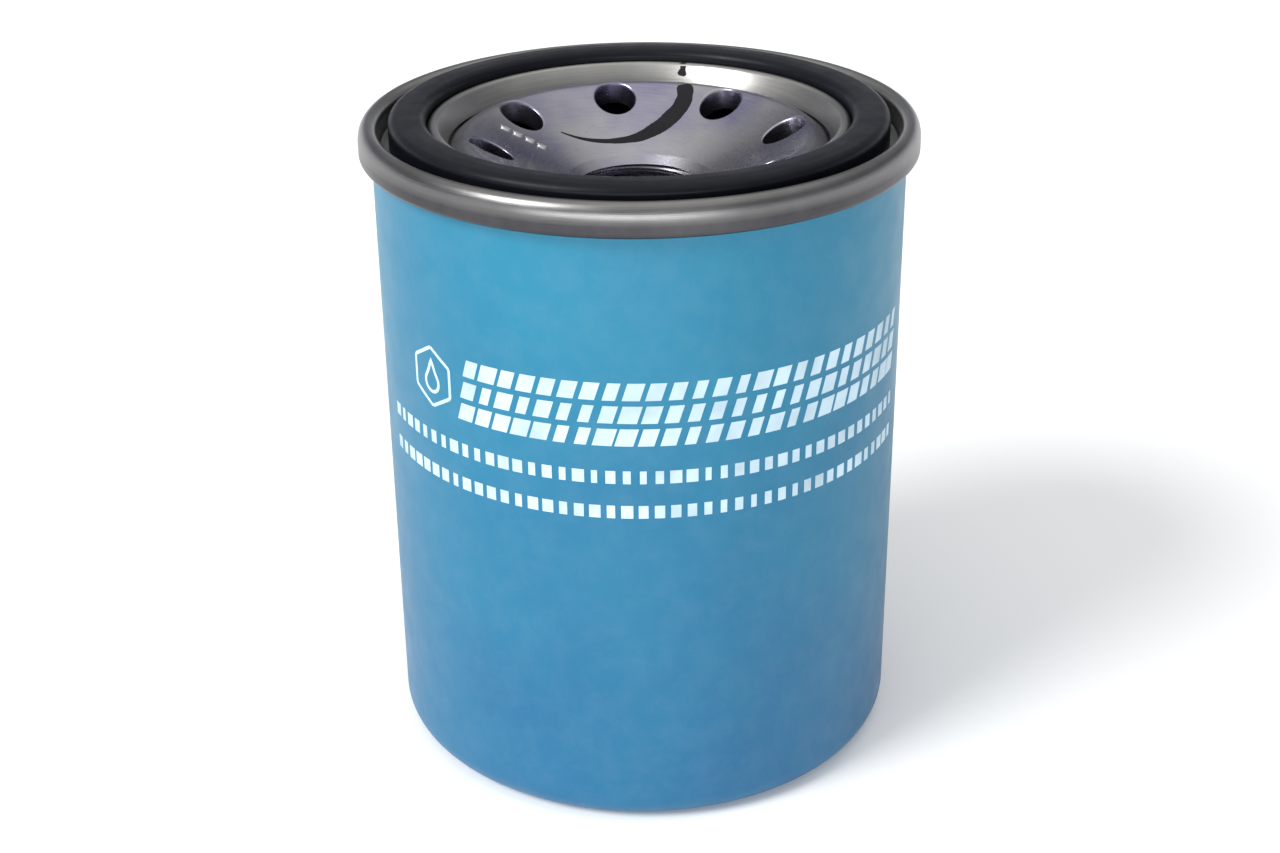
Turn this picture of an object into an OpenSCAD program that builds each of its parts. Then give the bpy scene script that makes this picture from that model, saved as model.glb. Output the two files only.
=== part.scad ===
// Spin-on oil filter for a small engine, thread end upwards.
// The origin is the centre of the closed end, and +Z runs along the thread axis.
// Every radius in the profiles is measured from that axis, and every height from the closed end.

/* [Can] */
// Outer diameter of the can wall
can_d = 76; // [60:0.5:100]
// Height of the top of the rolled seam
can_h = 95; // [76:0.1:130]
// Thickness of the can and lid sheet
sheet_t = 0.5; // [0.4:0.05:0.6]
// Outer radius of the corner between wall and closed end
can_corner_r = 4; // [3:0.25:6]
// Width of the flat foot ring on the closed end
foot_w = 9.5; // [8:0.25:11]
// Depth of the dished panel inside the foot ring
foot_dish = 1.2; // [0.6:0.1:2.4]

/* [Rolled seam] */
// Gap between neighbouring layers of the seam
seam_gap = 0.1; // [0.06:0.01:0.14]
// Height of the seam from its lower edge to its top
seam_h = 4.7; // [4.4:0.1:6]
// Height of the sealing compound above the can's hook
seam_fill = 0.4; // [0.25:0.05:0.5]

/* [Gasket] */
// Radial width of the gasket
gasket_w = 5.3; // [4:0.1:6.5]
// Height of the gasket
gasket_h = 4.5; // [4.2:0.1:6.5]
// Height of the gasket's top above the seam
gasket_proud = 0.9; // [0.8:0.1:2]
// Rounding of the gasket's upper edges
gasket_round = 1.2; // [0.6:0.1:1.8]
// Gap between the gasket and the lid's outer wall
gasket_gap = 1.4; // [0.8:0.1:2]
// Gap between the gasket and the lid's inner wall
gasket_fit = 0.1; // [0:0.05:0.3]

/* [Lid] */
// Height of the lid's inner curl above the gasket channel
curl_h = 3; // [2.4:0.1:3.8]
// Radius of the lid's bends, at the middle of the sheet
lid_bend_r = 0.7; // [0.5:0.05:0.9]
// Width from the inner curl to the lid's inner edge
lip_w = 2.4; // [1.8:0.1:3]
// Number of spot welds between the lid and the base plate
weld_count = 6; // [4:1:10]
// Diameter of a weld nugget
weld_d = 3; // [2:0.25:4]

/* [Base plate] */
// Thickness of the base plate
plate_t = 3; // [2.4:0.1:3.8]
// Radial gap between the base plate and the can
plate_fit = 0.2; // [0.1:0.05:0.4]
// Height of the ridge round the funnel above the plate's flat
ridge_rise = 1.6; // [0.8:0.1:2.2]
// Rounding of the ridge
ridge_round = 1.8; // [1.2:0.1:2.2]
// Gap between the lid's inner edge and the foot of the ridge
ridge_gap = 0.4; // [0.1:0.1:1]
// Slope of the ridge's outer side, in degrees
ridge_slope = 40; // [30:1:60]
// Slope of the funnel, in degrees
funnel_slope = 27; // [18:0.5:30]
// Number of oil inlet holes
inlet_count = 8; // [4:1:9]
// Diameter of an inlet hole
inlet_d = 6.1; // [4:0.1:7.4]
// Distance from the top of the ridge to the ring of inlet hole centres
inlet_inset = 3.2; // [2.6:0.1:4.5]

/* [Thread neck] */
// Nominal diameter of the mounting thread
thread_d = 20; // [16:0.5:24]
// Pitch of the mounting thread
thread_pitch = 1.5; // [1:0.25:2]
// Length of the threaded bore
thread_l = 8.6; // [7:0.1:11]
// Width of the lead-in chamfer at the mouth, beyond the nominal thread
mouth_chamfer = 0.4; // [0.2:0.05:0.8]
// Wall of the neck outside the nominal thread
neck_wall = 2.4; // [1.8:0.1:3.2]

/* [Anti-drain valve] */
// Gap between the neck and the valve's collar
collar_fit = 0.1; // [0.05:0.05:0.3]
// Wall of the valve's collar
collar_wall = 1.8; // [1.4:0.1:2.4]
// Thickness of the valve's membrane
membrane_t = 1.1; // [0.8:0.1:1.5]
// Width of the lip that seals on the base plate
lip_seal_w = 1.2; // [0.8:0.1:1.6]
// Distance from the ridge's foot to the sealing lip
lip_seal_inset = 0.8; // [0.4:0.1:1.4]
// Height of the sealing lip above the membrane
lip_seal_h = 1; // [0.6:0.1:1.4]

/* [Filter element] */
// Gap between the element and the can wall
element_gap = 3.9; // [3:0.1:6]
// How far the neck reaches down through the upper end cap
neck_overlap = 1.6; // [1.2:0.1:2.4]
// Thickness of the end caps
cap_t = 0.4; // [0.3:0.05:0.6]
// Height of the skirt round an end cap
cap_skirt = 3; // [2:0.25:4.5]
// Thickness of the adhesive that holds the pleats to an end cap
potting_t = 1.6; // [1:0.1:2.4]
// Number of pleats
pleat_count = 48; // [32:1:56]
// Thickness of the filter paper
paper_t = 0.55; // [0.4:0.05:0.7]
// Gap between the pleats and the centre tube, and between the pleats and the end caps' skirts
pleat_fit = 0.4; // [0.2:0.1:0.8]
// Gap between the neck and the centre tube
tube_gap = 2; // [1.2:0.1:3]
// Wall of the centre tube
tube_t = 0.5; // [0.4:0.05:0.8]
// Number of holes round the centre tube
tube_holes_round = 8; // [6:2:10]
// Number of rows of holes along the centre tube
tube_hole_rows = 7; // [4:1:7]
// Diameter of a hole in the centre tube
tube_hole_d = 3.2; // [2:0.1:4]

/* [Media clip] */
// Depth of the clip that joins the ends of the pleated paper
clip_depth = 2.5; // [2:0.25:3]
// Width of the space inside the clip
clip_gap = 2.2; // [2.1:0.1:2.4]
// Thickness of the clip's sheet
clip_t = 0.3; // [0.2:0.05:0.35]

/* [Bypass valve] */
// Gap between the bypass housing's flange and the centre tube
bypass_fit = 0.3; // [0.1:0.1:0.6]
// Width of the flange of the bypass housing
bypass_flange_w = 2.6; // [2:0.1:3.4]
// Thickness of the bypass housing's sheet
bypass_t = 0.8; // [0.6:0.1:1]
// Diameter of the hole that the bypass valve closes
bypass_hole_d = 12; // [9:0.5:14]
// Width of the seat round that hole
bypass_seat_w = 2; // [1.5:0.1:2.6]
// Thickness of the rubber seal under the poppet
bypass_seal_t = 1.2; // [0.8:0.1:1.6]
// Diameter of the poppet's guide stem
stem_d = 4; // [3:0.25:5]
// Gap round the guide stem
stem_fit = 0.1; // [0.1:0.05:0.3]
// Travel of the bypass valve before its spring is solid
bypass_travel = 3.5; // [2:0.1:5]
// Number of windows in the bypass housing
bypass_windows = 4; // [3:1:5]
// Width of a window
bypass_window_w = 6; // [4:0.5:7]
// Diameter of the bypass spring's wire
bypass_wire_d = 0.9; // [0.6:0.05:1.1]
// Number of active turns of the bypass spring
bypass_turns = 2; // [1:0.5:2]

/* [Support spring] */
// Height of the support spring as fitted
support_h = 10.3; // [9:0.1:14]
// Diameter of the support spring's wire
support_wire_d = 2; // [1.6:0.1:2.4]
// Number of active turns of the support spring
support_turns = 1; // [0.5:0.25:1.25]
// Gap between the support spring and the step of the dished panel
support_fit = 0.8; // [0.4:0.1:1.2]

/* [Hidden] */
$fn = 96;
through = 1;                    // how far a cutting solid runs past the faces it cuts
coil_close = 1.08;              // rise of a closed end turn, in wire diameters
seam_steps = 12;                // flats in each half turn of the rolled seam

// The rolled seam: five layers of sheet, counted inwards from the can wall and outwards from it
layer = sheet_t + seam_gap;
wall_mid_r = can_d / 2 - sheet_t / 2;
chuck_mid_r = wall_mid_r - layer;
lid_hook_mid_r = wall_mid_r + layer;
can_hook_mid_r = wall_mid_r + 2 * layer;
seam_mid_r = wall_mid_r + 3 * layer;
seam_bend_r = (seam_mid_r - chuck_mid_r) / 2;
hook_bend_r = layer;
seam_bend_z = can_h - seam_bend_r - sheet_t / 2;
can_bend_z = seam_bend_z - seam_fill;
seam_foot_z = can_h - seam_h + hook_bend_r + sheet_t / 2;
can_hook_end_z = seam_foot_z + sheet_t / 2;
lid_hook_end_z = can_bend_z - sheet_t;

// The gasket and the lid's channel
gasket_top_z = can_h + gasket_proud;
channel_z = gasket_top_z - gasket_h;
gasket_out_r = chuck_mid_r - sheet_t / 2 - gasket_gap;
gasket_in_r = gasket_out_r - gasket_w;
curl_wall_r = gasket_in_r - gasket_fit - sheet_t / 2;
curl_top_z = channel_z + curl_h;
channel_mid_z = channel_z - sheet_t / 2;
lid_edge_r = curl_wall_r - lip_w;
weld_ring_r = (curl_wall_r + chuck_mid_r) / 2;

// The base plate and its neck
plate_top_z = channel_z - sheet_t;
plate_bottom_z = plate_top_z - plate_t;
plate_r = can_d / 2 - sheet_t - plate_fit;
ridge_foot_r = lid_edge_r - ridge_gap;
ridge_z = plate_top_z + ridge_rise - ridge_round;
ridge_side = ridge_round * [sin(ridge_slope), cos(ridge_slope)];
ridge_r = ridge_foot_r - ridge_side[0] - (ridge_z + ridge_side[1] - plate_top_z) / tan(ridge_slope);
funnel_top = [ridge_r - ridge_round * sin(funnel_slope), ridge_z + ridge_round * cos(funnel_slope)];
mouth_r = thread_d / 2 + mouth_chamfer;
mouth_z = funnel_top[1] - (funnel_top[0] - mouth_r) * tan(funnel_slope);
thread_depth = 0.5413 * thread_pitch;          // height of an ISO metric internal thread
thread_crest_r = thread_d / 2 - thread_depth;
thread_top_z = mouth_z - (mouth_r - thread_crest_r);
neck_r = thread_d / 2 + neck_wall;
neck_end_z = thread_top_z - thread_l;
inlet_ring_r = ridge_r - inlet_inset;
plate_slope_t = plate_t / cos(funnel_slope);
shoulder_r = neck_r + collar_fit + collar_wall;
funnel_foot_z = funnel_top[1] - funnel_top[0] * tan(funnel_slope) - plate_slope_t;
groove_r = (plate_bottom_z - funnel_foot_z + ridge_foot_r * tan(ridge_slope))
    / (tan(ridge_slope) + tan(funnel_slope));
groove_z = funnel_foot_z + groove_r * tan(funnel_slope);
shoulder_z = funnel_foot_z + shoulder_r * tan(funnel_slope);

// The filter element, from the neck down to the support spring
cap_top_z = neck_end_z + neck_overlap;
cap_r = can_d / 2 - sheet_t - element_gap;
tube_in_r = neck_r + tube_gap;
tube_r = tube_in_r + tube_t;
cap_hole_r = (neck_r + tube_in_r) / 2;
foot_in_r = can_d / 2 - can_corner_r - foot_w;
panel_r = foot_in_r - 2 * foot_dish;
lower_cap_z = sheet_t + support_h;
element_base_z = lower_cap_z + cap_t;
element_top_z = cap_top_z - cap_t;
pleat_base_z = element_base_z + potting_t;
pleat_top_z = element_top_z - potting_t;
pleat_in_r = tube_r + pleat_fit;
pleat_out_r = cap_r - cap_t - pleat_fit;
clip_out_r = pleat_out_r + clip_t;
lower_hole_r = bypass_hole_d / 2 + bypass_seat_w;

// The bypass valve, standing on the lower end cap inside the centre tube
bypass_flange_r = tube_in_r - bypass_fit;
bypass_r = bypass_flange_r - bypass_flange_w;
poppet_r = bypass_hole_d / 2 + bypass_seat_w;
seal_z = element_base_z + bypass_t;
poppet_z = seal_z + bypass_seal_t;
bypass_spring_z = poppet_z + bypass_t;
bypass_solid_h = (bypass_turns + 3) * coil_close * bypass_wire_d;
bypass_spring_h = bypass_solid_h + bypass_travel;
bypass_spring_r = (poppet_r + stem_d / 2) / 2;
retainer_z = bypass_spring_z + bypass_spring_h;
stem_top_z = retainer_z + bypass_t;
bypass_h = stem_top_z - element_base_z;
window_h = bypass_spring_h - 2 * bypass_t;
support_r = foot_in_r + support_fit + support_wire_d / 2;

// Points along an arc about c, from angle a0 to a1
function arc(c, r, a0, a1, n = 8) =
    [for (i = [0:n]) let (a = a0 + (a1 - a0) * i / n) c + r * [cos(a), sin(a)]];

// Unit vector to the left of the stretch of a path that starts at its point i
function left_of(path, i) =
    let (k = min(max(i, 0), len(path) - 2), d = path[k + 1] - path[k])
    [-d[1], d[0]] / norm(d);

// Mitre at point i: how far the corner of the sheet's left face moves for a unit of offset
function mitre(path, i) =
    let (a = left_of(path, i - 1), b = left_of(path, i))
    (a + b) / (1 + a * b);

// Closed outline of a sheet of thickness t whose middle follows a path
function sheet_outline(path, t) =
    concat([for (i = [0:len(path) - 1]) path[i] + mitre(path, i) * t / 2],
           [for (i = [len(path) - 1:-1:0]) path[i] - mitre(path, i) * t / 2]);

// A pressed sheet part, turned from the path that its middle follows
module pressed_sheet(path, t) {
    rotate_extrude() polygon(sheet_outline(path, t));
}

// A ring of rectangular section
module ring(r_out, r_in, z0, z1) {
    translate([0, 0, z0]) difference() {
        cylinder(h = z1 - z0, r = r_out);
        translate([0, 0, -through]) cylinder(h = z1 - z0 + 2 * through, r = r_in);
    }
}

// Height of a spring's wire after u turns: an end turn rises by little more than the wire,
// and the active turns share what is left
function coil_rise(u, wire, height, turns) =
    let (end_rise = coil_close * wire, pitch = (height - wire - 2 * end_rise) / turns)
    min(u, 1) * end_rise + min(max(u - 1, 0), turns) * pitch + max(u - 1 - turns, 0) * end_rise;

// Points of the wire's section after u turns
function coil_section(u, mean_r, wire, height, turns, sides) =
    let (z = coil_rise(u, wire, height, turns) + wire / 2, a = 360 * u)
    [for (k = [0:sides - 1]) let (b = 360 * k / sides, r = mean_r + wire / 2 * cos(b))
        [r * cos(a), r * sin(a), z + wire / 2 * sin(b)]];

// A coil spring with closed ends, standing on z = 0
module coil_spring(mean_r, wire, height, turns, sides = 8, steps = 20) {
    rings = ceil((turns + 2) * steps);
    points = [for (i = [0:rings])
        each coil_section((turns + 2) * i / rings, mean_r, wire, height, turns, sides)];
    walls = [for (i = [0:rings - 1], k = [0:sides - 1])
        let (a = i * sides + k, b = i * sides + (k + 1) % sides)
        each [[a, b, b + sides], [a, b + sides, a + sides]]];
    start = [for (k = [1:sides - 2]) [0, k + 1, k]];
    last = rings * sides;
    finish = [for (k = [1:sides - 2]) [last, last + k, last + k + 1]];
    polyhedron(points, concat(walls, start, finish));
}

// Drawn steel can: dished closed end, wall, and the hook that the seam folds over
module can() {
    corner = can_corner_r - sheet_t / 2;
    half = sheet_t / 2;
    path = concat(
        [[0, foot_dish + half], [panel_r, foot_dish + half]],
        [[foot_in_r, half]],
        arc([wall_mid_r - corner, half + corner], corner, -90, 0),
        arc([wall_mid_r + hook_bend_r, can_bend_z], hook_bend_r, 180, 0, seam_steps),
        [[can_hook_mid_r, can_hook_end_z]]);
    color("steelblue") pressed_sheet(path, sheet_t);
}

// Stamped lid: inner lip on the base plate, curl, gasket channel, outer wall and rolled hook
module seam_lid() {
    curl_z = curl_top_z - lid_bend_r - sheet_t / 2;
    path = concat(
        [[lid_edge_r, channel_mid_z]],
        arc([curl_wall_r - lid_bend_r, curl_z], lid_bend_r, 135, 0, 6),
        arc([curl_wall_r + lid_bend_r, channel_mid_z + lid_bend_r], lid_bend_r, 180, 270, 5),
        arc([chuck_mid_r - lid_bend_r, channel_mid_z + lid_bend_r], lid_bend_r, -90, 0, 5),
        arc([chuck_mid_r + seam_bend_r, seam_bend_z], seam_bend_r, 180, 0, seam_steps),
        arc([seam_mid_r - hook_bend_r, seam_foot_z], hook_bend_r, 0, -180, seam_steps),
        [[lid_hook_mid_r, lid_hook_end_z]]);
    color("gainsboro") difference() {
        pressed_sheet(path, sheet_t);
        weld_spots(through);
    }
}

// Sealing compound that fills the top of the seam, between the lid and the can's hook
module seam_sealant() {
    mid_r = wall_mid_r + hook_bend_r;
    half_w = hook_bend_r;
    lid_in_r = (seam_bend_r - sheet_t / 2) * cos(90 / seam_steps);
    top_z = seam_bend_z + sqrt(pow(lid_in_r, 2) - pow(half_w, 2));
    base_z = can_bend_z + hook_bend_r + sheet_t / 2;
    color("dimgray") ring(mid_r + half_w, mid_r - half_w, base_z, top_z);
}

// Thick pressed plate: flat rim, ridge, funnel with inlet holes, and the threaded neck
module base_plate() {
    ridge = arc([ridge_r, ridge_z], ridge_round, 90 + funnel_slope, 90 - ridge_slope, 6);
    outline = concat(
        [[thread_crest_r, neck_end_z], [thread_crest_r, thread_top_z], [mouth_r, mouth_z]],
        ridge,
        [[ridge_foot_r, plate_top_z], [plate_r, plate_top_z], [plate_r, plate_bottom_z]],
        [[ridge_foot_r, plate_bottom_z], [groove_r, groove_z]],
        [[shoulder_r, shoulder_z], [neck_r, shoulder_z], [neck_r, neck_end_z]]);
    color("silver") difference() {
        rotate_extrude() polygon(outline);
        for (i = [0:inlet_count - 1])
            rotate([0, 0, 360 * i / inlet_count])
            translate([inlet_ring_r, 0, shoulder_z])
            cylinder(h = plate_top_z + ridge_rise + through - shoulder_z, d = inlet_d);
    }
}

// Places of the spot welds, run past the lid's faces by extra
module weld_spots(extra) {
    for (i = [0:weld_count - 1])
        rotate([0, 0, 360 * i / weld_count])
        translate([weld_ring_r, 0, plate_top_z - extra])
        cylinder(h = sheet_t + 2 * extra, d = weld_d);
}

// Weld nuggets that join the lid's channel to the base plate
module lid_spot_welds() {
    color("slategray") weld_spots(0);
}

// Moulded rubber gasket, rounded along its upper edges and bevelled to clear the channel's bends
module gasket() {
    z = gasket_top_z - gasket_round;
    bevel = lid_bend_r;
    color([0.08, 0.08, 0.09]) rotate_extrude() polygon(concat(
        [[gasket_in_r, channel_z + bevel], [gasket_in_r + bevel, channel_z]],
        [[gasket_out_r - bevel, channel_z], [gasket_out_r, channel_z + bevel]],
        arc([gasket_out_r - gasket_round, z], gasket_round, 0, 90, 6),
        arc([gasket_in_r + gasket_round, z], gasket_round, 90, 180, 6)));
}

// Rubber anti-drain valve: collar round the neck and a membrane that ends in a sealing lip
module drain_valve() {
    in_r = neck_r + collar_fit;
    lip_in_r = ridge_foot_r + lip_seal_inset;
    lip_r = lip_in_r + lip_seal_w;
    lip_z = plate_bottom_z - lip_seal_h;
    color("darkorange") rotate_extrude() polygon([
        [in_r, cap_top_z], [shoulder_r, cap_top_z],
        [shoulder_r, shoulder_z - 2 * membrane_t], [lip_r, lip_z - membrane_t],
        [lip_r, plate_bottom_z], [lip_in_r, plate_bottom_z],
        [lip_in_r, lip_z], [shoulder_r, shoulder_z - membrane_t],
        [shoulder_r, shoulder_z], [in_r, shoulder_z]]);
}

// End cap pressed from sheet, drawn as the upper one: a disc with a hole and a skirt
module end_cap(hole_r) {
    half = cap_t / 2;
    bend = 3 * half;
    pressed_sheet(concat(
        [[hole_r, -half]],
        arc([cap_r - half - bend, -half - bend], bend, 90, 0, 4),
        [[cap_r - half, -cap_skirt]]), cap_t);
}

// Upper end cap, open for the neck
module upper_end_cap() {
    color("lightsteelblue") translate([0, 0, cap_top_z]) end_cap(cap_hole_r);
}

// Lower end cap, open under the bypass valve
module lower_end_cap() {
    color("lightsteelblue") translate([0, 0, lower_cap_z]) mirror([0, 0, 1]) end_cap(lower_hole_r);
}

// Adhesive between the upper end cap and the pleats
module upper_potting() {
    color("peru") ring(pleat_out_r, tube_r, pleat_top_z, element_top_z);
}

// Adhesive between the lower end cap and the pleats
module lower_potting() {
    color("peru") ring(pleat_out_r, tube_r, element_base_z, pleat_base_z);
}

// Outline of the pleats: a star of tips and valleys, moved in or out along the radius
function pleat_star(tip_r, valley_r) =
    [for (i = [0:2 * pleat_count - 1]) let (a = 180 * i / pleat_count, r = i % 2 == 0 ? tip_r : valley_r)
        r * [cos(a), sin(a)]];

// Pleated filter paper
module pleated_media() {
    // A radial step this long leaves a paper of the right thickness on the steep faces of a pleat
    pleat_w = PI * (pleat_in_r + pleat_out_r) / 2 / pleat_count;
    step = paper_t * norm([pleat_out_r - pleat_in_r, pleat_w]) / pleat_w;
    color("khaki") translate([0, 0, pleat_base_z]) linear_extrude(pleat_top_z - pleat_base_z)
        difference() {
            polygon(pleat_star(pleat_out_r, pleat_in_r + step));
            polygon(pleat_star(pleat_out_r - step, pleat_in_r));
        }
}

// Folded steel clip over the pleat where the paper's two ends meet
module media_seam_clip() {
    w = clip_gap + 2 * clip_t;
    color("darkgray") translate([clip_out_r - clip_depth, -w / 2, pleat_base_z])
        difference() {
            cube([clip_depth, w, pleat_top_z - pleat_base_z]);
            translate([-through, clip_t, -through])
                cube([clip_depth - clip_t + through, clip_gap, pleat_top_z - pleat_base_z + 2 * through]);
        }
}

// Perforated steel tube that carries the pleats
module centre_tube() {
    row_pitch = (pleat_top_z - pleat_base_z) / tube_hole_rows;
    color("silver") difference() {
        ring(tube_r, tube_in_r, element_base_z, element_top_z);
        for (j = [0:tube_hole_rows - 1], i = [0:tube_holes_round / 2 - 1])
            rotate([0, 0, 360 * (i + 0.5 * (j % 2)) / tube_holes_round])
            translate([0, 0, pleat_base_z + (j + 0.5) * row_pitch])
            rotate([0, 90, 0])
            cylinder(h = 2 * (tube_r + through), d = tube_hole_d, center = true);
    }
}

// Bypass housing: flanged cup with a seat in its floor and windows in its wall
module bypass_housing() {
    color("darkkhaki") difference() {
        union() {
            ring(bypass_flange_r, bypass_hole_d / 2, element_base_z, element_base_z + bypass_t);
            ring(bypass_r, bypass_r - bypass_t, element_base_z, element_base_z + bypass_h);
        }
        for (i = [0:bypass_windows - 1])
            rotate([0, 0, 360 * i / bypass_windows])
            translate([0, -bypass_window_w / 2, bypass_spring_z + bypass_t])
            cube([bypass_r + through, bypass_window_w, window_h]);
    }
}

// Rubber seal under the poppet
module bypass_seal() {
    color([0.1, 0.1, 0.1]) ring(poppet_r, bypass_hole_d / 2 - bypass_seat_w, seal_z, poppet_z);
}

// Bypass poppet: disc and guide stem
module bypass_poppet() {
    color("goldenrod") union() {
        translate([0, 0, poppet_z]) cylinder(h = bypass_t, r = poppet_r);
        translate([0, 0, poppet_z]) cylinder(h = stem_top_z - poppet_z, d = stem_d);
    }
}

// Coil spring that holds the poppet on its seat
module bypass_spring() {
    color("lightgray") translate([0, 0, bypass_spring_z])
        coil_spring(bypass_spring_r, bypass_wire_d, bypass_spring_h, bypass_turns);
}

// Retainer pressed into the top of the bypass housing
module bypass_retainer() {
    color("tan") ring(bypass_r - bypass_t, stem_d / 2 + stem_fit, retainer_z, stem_top_z);
}

// Coil spring between the closed end and the lower end cap
module support_spring() {
    color("lightgray") translate([0, 0, sheet_t])
        coil_spring(support_r, support_wire_d, support_h, support_turns, 12, 24);
}

can();
seam_lid();
seam_sealant();
base_plate();
lid_spot_welds();
gasket();
drain_valve();
upper_end_cap();
upper_potting();
pleated_media();
media_seam_clip();
centre_tube();
lower_potting();
lower_end_cap();
bypass_housing();
bypass_seal();
bypass_poppet();
bypass_spring();
bypass_retainer();
support_spring();
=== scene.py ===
"""Visual model of a spin-on oil filter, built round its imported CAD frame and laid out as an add-on.

Every length in the code is in metres. Profiles are (radius, height) pairs measured from the
thread axis and from the closed end, as in the CAD model.
"""

import math

import bmesh
import bpy
import numpy as np
from bpy.props import FloatProperty, FloatVectorProperty, IntProperty, PointerProperty
from bpy.types import Operator, Panel, PropertyGroup
from mathutils import Matrix, Vector


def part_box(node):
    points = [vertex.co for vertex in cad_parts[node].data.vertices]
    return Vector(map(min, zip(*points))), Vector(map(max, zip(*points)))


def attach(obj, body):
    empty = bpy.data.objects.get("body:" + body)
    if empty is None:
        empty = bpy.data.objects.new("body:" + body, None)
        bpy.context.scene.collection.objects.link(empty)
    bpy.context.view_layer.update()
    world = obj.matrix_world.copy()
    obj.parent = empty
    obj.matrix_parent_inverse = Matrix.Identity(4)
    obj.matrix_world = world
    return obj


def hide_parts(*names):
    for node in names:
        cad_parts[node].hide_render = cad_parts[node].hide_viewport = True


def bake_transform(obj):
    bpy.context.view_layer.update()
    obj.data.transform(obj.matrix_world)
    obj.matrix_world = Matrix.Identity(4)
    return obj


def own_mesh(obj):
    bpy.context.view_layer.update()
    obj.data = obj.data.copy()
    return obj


bl_info = {
    "name": "Spin-on oil filter",
    "version": (1, 0, 0),
    "blender": (4, 5, 0),
    "location": "View3D > Sidebar > Oil filter",
    "description": "Builds the pieces, finishes and studio of a spin-on oil filter",
    "category": "Object",
}

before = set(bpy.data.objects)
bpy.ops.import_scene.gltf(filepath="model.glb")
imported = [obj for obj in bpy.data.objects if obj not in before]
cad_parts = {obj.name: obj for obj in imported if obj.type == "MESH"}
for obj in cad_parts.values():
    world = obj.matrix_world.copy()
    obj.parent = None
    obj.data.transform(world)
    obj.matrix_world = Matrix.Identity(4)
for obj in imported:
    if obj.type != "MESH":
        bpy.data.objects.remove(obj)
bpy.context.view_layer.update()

MM = 0.001
TURN = 2 * math.pi
WELD = 1e-6                            # vertices closer than this are one vertex
SHARP = math.radians(38)               # edges that bend more than this stay crisp
FILM = 0.05 * MM                       # thickness of ink and felt pen
SINK = 0.02 * MM                       # how far a stroke's underside goes into what it lies on

THREAD_RADIUS = 10 * MM                # nominal radius of the mounting thread
THREAD_DEPTH = 0.5413                  # depth of a turn as a share of the pitch
MOUTH_RADIUS = 10.4 * MM               # outer edge of the chamfer round the threaded hole
NECK_RADIUS = 12.4 * MM                # outside of the plate's threaded neck
SHOULDER_RADIUS = 14.3 * MM            # where the funnel's underside begins outside the neck
FUNNEL_SLOPE = math.radians(27)
RIDGE_SLOPE = math.radians(40)         # the fall from the plate's ridge to its flat rim
LIP_WIDTH = 2.4 * MM                   # flat of the lid between its curl and its hole
LIP_GAP = 0.1 * MM                     # clearance between the gasket and the lid's curl
RIM_EASE = 0.3 * MM                    # rounding of the plate's outer edge

TUBE_WALL = 0.5 * MM
TUBE_HOLE = 3.2 * MM                   # diameter of the centre tube's oil holes
TUBE_MARGIN = 1.6 * MM                 # plain ends of the centre tube
GLUE_RADIUS = 14.9 * MM                # inner radius of the adhesive rings
PAPER_RADIUS = 15.3 * MM               # inner radius of the folded paper's space
PAPER = 0.42 * MM                      # thickness of the paper
CAP_SHEET = 0.4 * MM                   # thickness of the end caps
STEM_RADIUS = 2 * MM                   # the bypass poppet's stem

TURN_OF_VIEW = math.radians(-9.8)      # the inlet holes' turn against the viewer


def low(node):
    """Height of the lowest point of a CAD node."""
    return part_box(node)[0].z


def high(node):
    """Height of the highest point of a CAD node."""
    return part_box(node)[1].z


def reach(node):
    """Outer radius of a CAD node that is turned about the axis."""
    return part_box(node)[1].x


# ---------------------------------------------------------------- sizes and finishes


class FilterSizes(PropertyGroup):
    """Sizes of the pieces."""

    sheet: FloatProperty(
        name="Sheet", description="Thickness of the can and lid sheet", default=0.5 * MM,
        unit="LENGTH")
    seam_layer: FloatProperty(
        name="Seam layer", description="Pitch of the layers in the rolled seam", default=0.6 * MM,
        unit="LENGTH")
    corner: FloatProperty(
        name="Corner", description="Outer radius between wall and closed end", default=4 * MM,
        unit="LENGTH")
    foot_width: FloatProperty(
        name="Foot width", description="Width of the flat foot ring", default=9.5 * MM,
        unit="LENGTH")
    foot_dish: FloatProperty(
        name="Foot dish", description="Depth of the panel inside the foot ring", default=1.2 * MM,
        unit="LENGTH")
    gasket_width: FloatProperty(
        name="Gasket width", description="Radial width of the gasket", default=5.3 * MM,
        unit="LENGTH")
    gasket_round: FloatProperty(
        name="Gasket rounding", description="Rounding of its upper edges", default=1.2 * MM,
        unit="LENGTH")
    plate: FloatProperty(
        name="Plate", description="Thickness of the base plate", default=3 * MM, unit="LENGTH")
    thread_pitch: FloatProperty(
        name="Thread pitch", description="Pitch of the mounting thread", default=1.5 * MM,
        unit="LENGTH")
    thread_length: FloatProperty(
        name="Thread length", description="Length of the threaded bore", default=8.6 * MM,
        unit="LENGTH")
    inlet_count: IntProperty(
        name="Inlet holes", description="Number of holes round the funnel", default=8, min=4, max=9)
    inlet: FloatProperty(
        name="Inlet hole", description="Diameter of an inlet hole", default=6.1 * MM, unit="LENGTH")
    weld_count: IntProperty(
        name="Spot welds", description="Number of welds between lid and plate", default=6, min=4,
        max=10)
    pleats: IntProperty(
        name="Pleats", description="Number of pleats in the paper", default=48, min=32, max=56)
    tube_holes: IntProperty(
        name="Tube holes", description="Number of holes round the centre tube", default=8, min=6,
        max=10)
    tube_rows: IntProperty(
        name="Tube rows", description="Number of rows of holes in the centre tube", default=7,
        min=4, max=7)
    support_wire: FloatProperty(
        name="Support wire", description="Wire of the support spring", default=2 * MM,
        unit="LENGTH")
    bypass_wire: FloatProperty(
        name="Bypass wire", description="Wire of the bypass spring", default=0.9 * MM,
        unit="LENGTH")


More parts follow.
